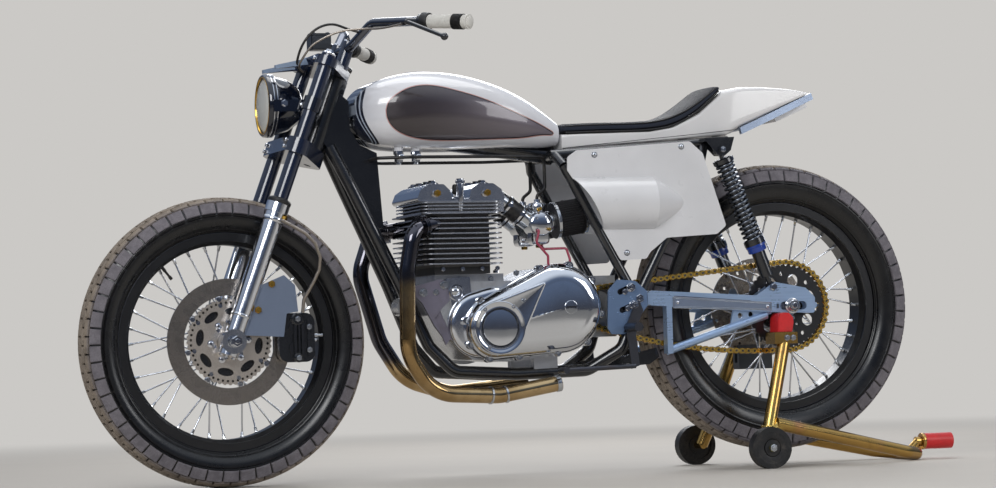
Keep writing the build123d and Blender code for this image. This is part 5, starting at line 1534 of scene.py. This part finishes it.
def springs():
    """The coils in place of the plain springs, the dampers' bodies, and a blue collar under each."""
    marks = [34.0, 41.0, *np.linspace(50.5, 235.5, 17), 243.0]
    coils = Shape()
    trim = Shape()
    bands = Shape()
    along = unit(np.array((SHOCK_FOOT[0] - SHOCK_TOP[0], 0, SHOCK_FOOT[1] - SHOCK_TOP[1])))
    for y in (-121, 121):
        coils.add(helix(marks, SHOCK_TOP, SHOCK_FOOT, y, 20.2, 3.9, 22))
        top = (SHOCK_TOP[0], y, SHOCK_TOP[1])
        trim.turn([(0, 22), (20, 22), (24.5, 25), (24.5, 31), (15, 33), (15, 252), (0, 252)], top, along, 32)
        bands.turn([(15, 247), (24, 247), (25, 249), (25, 253), (23.4, 254.4), (23.4, 265), (22, 267),
                    (15, 267)], top, along, 40)
    coils.piece("shock_coils", SPRING, angle=60, instead=("shock_springs",))
    trim.piece("damper_bodies", BLACK)
    bands.piece("shock_collars", BLUE)


springs()


def chain():
    """Links one pitch apart round both sprockets: two figure-eight plates each, on rollers with pin
    heads."""
    front_r = CHAIN_PITCH / (2 * sin(pi / FRONT_TEETH))
    rear_r = CHAIN_PITCH / (2 * sin(pi / REAR_TEETH))
    f, r = np.array(GEARBOX), np.array((REAR_AXLE[0], REAR_AXLE[2]))
    d = r - f
    gap = np.linalg.norm(d)
    tilt = np.arctan2(d[1], d[0])
    lean = acos((front_r - rear_r) / gap)
    up, down = tilt + lean, tilt - lean
    top_f, top_r = (c + q * np.array((cos(up), sin(up))) for c, q in ((f, front_r), (r, rear_r)))
    low_f, low_r = (c + q * np.array((cos(down), sin(down))) for c, q in ((f, front_r), (r, rear_r)))
    round_r = r + rear_r * np.stack([np.cos(np.linspace(up, down, 200)),
                                     np.sin(np.linspace(up, down, 200))], -1)
    back = np.linspace(down, up - 2 * pi, 120)
    round_f = f + front_r * np.stack([np.cos(back), np.sin(back)], -1)
    s = np.linspace(0, 1, 80)[:, None]
    low = low_r + (low_f - low_r) * s - np.array((0, 22.0)) * (4 * s * (1 - s))
    loop = np.vstack([top_f + (top_r - top_f) * s, round_r[1:], low[1:], round_f[1:]])
    step = np.concatenate([[0], np.cumsum(np.linalg.norm(np.diff(loop, axis=0), axis=1))])
    count = round(step[-1] / CHAIN_PITCH)
    even = np.linspace(0, step[-1], count, endpoint=False)
    pins = np.stack([np.interp(even, step, loop[:, 0]), np.interp(even, step, loop[:, 1])], -1)
    after = np.roll(pins, -1, 0)
    run = unit(after - pins)
    across = np.stack([-run[:, 1], run[:, 0]], -1)
    a = np.linspace(0.5 * pi, 1.5 * pi, 7)
    eye = np.stack([7.0 * np.cos(a), 7.0 * np.sin(a)], -1)
    mid = np.array([(CHAIN_PITCH / 2, -3.2)])
    half = np.vstack([eye, mid])
    figure = np.vstack([half, (np.array((CHAIN_PITCH, 0)) - half)])
    plates = Shape()
    n = len(figure)
    flat = pins[:, None] + figure[None, :, :1] * run[:, None] + figure[None, :, 1:] * across[:, None]
    ring = np.arange(n)
    for s in (-1, 1):
        offset = np.where(np.arange(count) % 2, 7.4, 5.6)[:, None]
        layers = []
        for t in (0.0, 1.8):
            y = CHAIN_Y + s * (offset - t) + 0 * flat[..., 0]
            layers.append(np.stack([flat[..., 0], y, flat[..., 1]], -1))
        points = np.concatenate(layers, 1)
        skirt = np.stack([ring, (ring + 1) % n, (ring + 1) % n + n, ring + n], -1)
        spread = 2 * n * np.arange(count)[:, None, None]
        ends = np.stack([ring[::-1], ring + n])
        plates.add((points, [(skirt[None] + spread).reshape(-1, 4), (ends[None] + spread).reshape(-1, n)]))
    plates.piece("chain_plates", CHAIN_GOLD, angle=40, weld=False, instead=("chain",))
    rollers = Shape()
    at = np.stack([pins[:, 0], np.full(count, CHAIN_Y - 4.2), pins[:, 1]], -1)
    rollers.copies(stacked([(4.6, 0), (4.6, 8.4)], 8), at, RIGHT)
    rollers.copies(stacked([(2.7, 0), (2.7, 17.0)], 8), at - (0, 4.3, 0), RIGHT)
    rollers.piece("chain_rollers", DARK_STEEL, angle=40)


chain()


def rear_trim():
    """The rear axle's nuts as turned stacks, and the nuts and bolts of swingarm, dampers and gearbox
    plates."""
    nuts = Shape()
    stack = [(0, 135), (19, 135), (19, 137.6), (17.6, 138.6), (14, 138.6), (14, 147), (12.6, 148.4),
             (9.4, 148.4), (9.4, 147.2), (7, 147.2), (7, 153), (6, 154), (0, 154)]
    for s in (-1, 1):
        nuts.turn(stack, REAR_AXLE, (0, s, 0), 40)
    nuts.copies(HEX, mirrored([(1471, 121, 393)]), BACK)
    nuts.both(sized(NUT, 1.5), (1000, 136.5, 419)).both(NUT, (SHOCK_TOP[0], 142.5, SHOCK_TOP[1]))
    nuts.both(sized(HEX, 1.3), (SHOCK_FOOT[0], 134.3, SHOCK_FOOT[1]))
    nuts.both(HEX, [(962, 142.4, 436), (968, 142.4, 396)])
    nuts.piece("rear_nuts", CHROME)


rear_trim()


def arm_panels():
    """A blank plate along each arm's side, over the pressed panel, a raised border round it, bolts at its
    ends, and the slot's adjusters."""
    plates, borders, blocks = Shape(), Shape(), Shape()
    outer = np.array([(1089, 394.5), (1089, 421), (1347, 402), (1347, 383)])
    inner = outer + [(4, 3), (4, -3.4), (-4, -2.6), (-4, 3.2)]
    for s in (-1, 1):
        plates.press(outer, s * 133.6, s * 134.9)
        for line in (outer, inner):
            for a, b in zip(line, np.roll(line, -1, 0)):
                borders.pipe(np.linspace((a[0], s * 134.8, a[1]), (b[0], s * 134.8, b[1]), 4), 0.8, 6)
        blocks.box((1372, s * 128, 386.5), (1381, s * 137.2, 399.5))
        blocks.box((1360, s * 128, 387.5), (1366, s * 136.8, 398.5))
    plates.piece("arm_plates", BRACKET, angle=30)
    borders.piece("arm_borders", STEEL, angle=60)
    bolts = Shape().both(sized(BUTTON, 0.8), [(1101, 134.9, 407), (1336, 134.9, 392.5)])
    bolts.piece("arm_bolts", CHROME)
    blocks.piece("axle_blocks", CHROME, angle=30)


arm_panels()


# Stand
def stand_trim():
    """A tyre on each stand wheel with a raised rim, nuts, weld beads, a cuff at the handle, the blocks
    under the swingarm and their cups."""
    for s, side in ((-1, "left"), (1, "right")):
        y = s * 244
        tread = Shape().turn([(38.5, -14), (47, -15), (49.6, -12), (49.8, 0), (49.6, 12), (47, 15),
                              (38.5, 14)], (1285, y, 50), RIGHT, 64)
        tread.turn([(22, 14.5), (36, 12.5), (38.5, 14), (38.5, 15.2), (34, 14.4), (24, 15.6)],
                   (1285, y, 50), (0, s, 0), 64)
        tread.piece("stand_tyre_" + side, RUBBER, "stand_roller_" + side)
    nuts = Shape().both(sized(NUT, 1.3), (1285, 260.4, 50))
    nuts.both(HEX, [(1372, 166.2, 314), (1388, 166.2, 314)])
    nuts.piece("stand_nuts", STEEL)
    cuffs = Shape().turn([(12.5, -1), (20.5, -1), (21, 1), (21, 5), (20.2, 7), (12.5, 7)], (1802, 0, 44),
                         BACK, 40)
    t = np.linspace(0, 2 * pi, 96)
    for s in (-1, 1):
        bead = np.stack([1305 + 17 * np.cos(t), s * 192 + 17 * np.sin(t), 101 + 1.2 * np.cos(24 * t)], -1)
        cuffs.pipe(bead, 2.2, 8, UP)
    cuffs.piece("stand_cuffs", GOLD)
    pads, clamps = Shape(), Shape()
    outline = [(1350.6, 329), (1352, 362), (1358, 374), (1366, 376), (1382, 375), (1392, 364),
               (1393.4, 352), (1389, 329)]
    for s in (-1, 1):
        pads.press(outline, s * 112, s * 160)
        pads.press(np.array(outline) * (0.9, 0.9) + (137.1, 35.2), s * 160, s * 161.6)
        clamps.turn([(0, -16), (22.5, -16), (23.5, -14), (23.5, -2), (21, 0), (0, 0)], (1372, s * 140, 329),
                    UP, 32)
    pads.piece("stand_blocks", RED, angle=40, instead=("stand_pads",))
    clamps.piece("stand_clamps", GOLD)


# Studio
PALE = ink("cbc9c6")
WORLD_LIGHT = 0.3
LAMPS = [
    # name, place, width and height, watts
    ("key_left", (-2.6, -3.4, 2.6), (2.2, 1.6), 84),
    ("fill_rear", (3.0, -2.8, 1.8), (1.6, 1.6), 34),
    ("top_soft", (0.2, 0.4, 3.6), (3.2, 1.6), 38),
    ("back_right", (1.5, 3.4, 2.4), (2.4, 1.6), 60),
]


def ground():
    """A pale floor that keeps the object's shadow and turns into the backdrop's colour further out."""
    size = 60.0
    mesh = bpy.data.meshes.new("floor")
    mesh.from_pydata([(-size, -size, 0), (size, -size, 0), (size, size, 0), (-size, size, 0)], [],
                     [(0, 1, 2, 3)])
    floor = bpy.data.objects.new("floor", mesh)
    bpy.context.scene.collection.objects.link(floor)
    f = Finish("pale_floor", Roughness=0.7)
    far = f.node("VectorMath", {"operation": "LENGTH"}, {0: f.where}, 1).rise(2.2, 6.0)
    f.set("Base Color", f.mix(f.noise(3, 3), ink("bdb8b1"), ink("c4bfb8")))
    glow = f.node("Emission", values={"Color": PALE, "Strength": 1.0})
    blend = f.node("MixShader", values={0: far * f.node("LightPath"), 1: Wire(f, f.shader.outputs[0]),
                                        2: glow})
    f.feed(f.tree.nodes["Material Output"].inputs["Surface"], blend)
    mesh.materials.append(f.material)


def surroundings():
    """Pale to the camera and through glass; in polished metal a bright ceiling over darker walls."""
    world = bpy.data.worlds.new("studio")
    bpy.context.scene.world = world
    world.use_nodes = True
    n = Nodes(world.node_tree)
    height = n.part(n.node("TexCoord"), 2)
    walls = n.mix(height.rise(-0.12, 0.3), ink("34302f"), ink("5c6b85"))
    walls = n.mix(height.rise(0.25, 0.8), walls, ink("e2ebf8"))
    plain = (WORLD_LIGHT, WORLD_LIGHT, WORLD_LIGHT, 1)
    seen = n.node("LightPath") + n.node("LightPath", output=6)
    light = n.mix(seen, n.mix(n.node("LightPath", output=3), plain, walls), PALE)
    n.feed(n.tree.nodes["Background"].inputs["Color"], light)


def lamps():
    """The area lights, aimed at the middle of the machine."""
    for name, at, size, power in LAMPS:
        data = bpy.data.lights.new(name, "AREA")
        data.shape = "RECTANGLE"
        data.size, data.size_y = size
        data.energy = power
        lamp = bpy.data.objects.new(name, data)
        aim = Vector((0, 0, 0.55)) - Vector(at)
        lamp.matrix_world = Matrix.Translation(at) @ aim.to_track_quat("-Z", "Y").to_matrix().to_4x4()
        bpy.context.scene.collection.objects.link(lamp)


stand_trim()
ground()
surroundings()
lamps()
bpy.context.scene.view_settings.view_transform = "Standard"
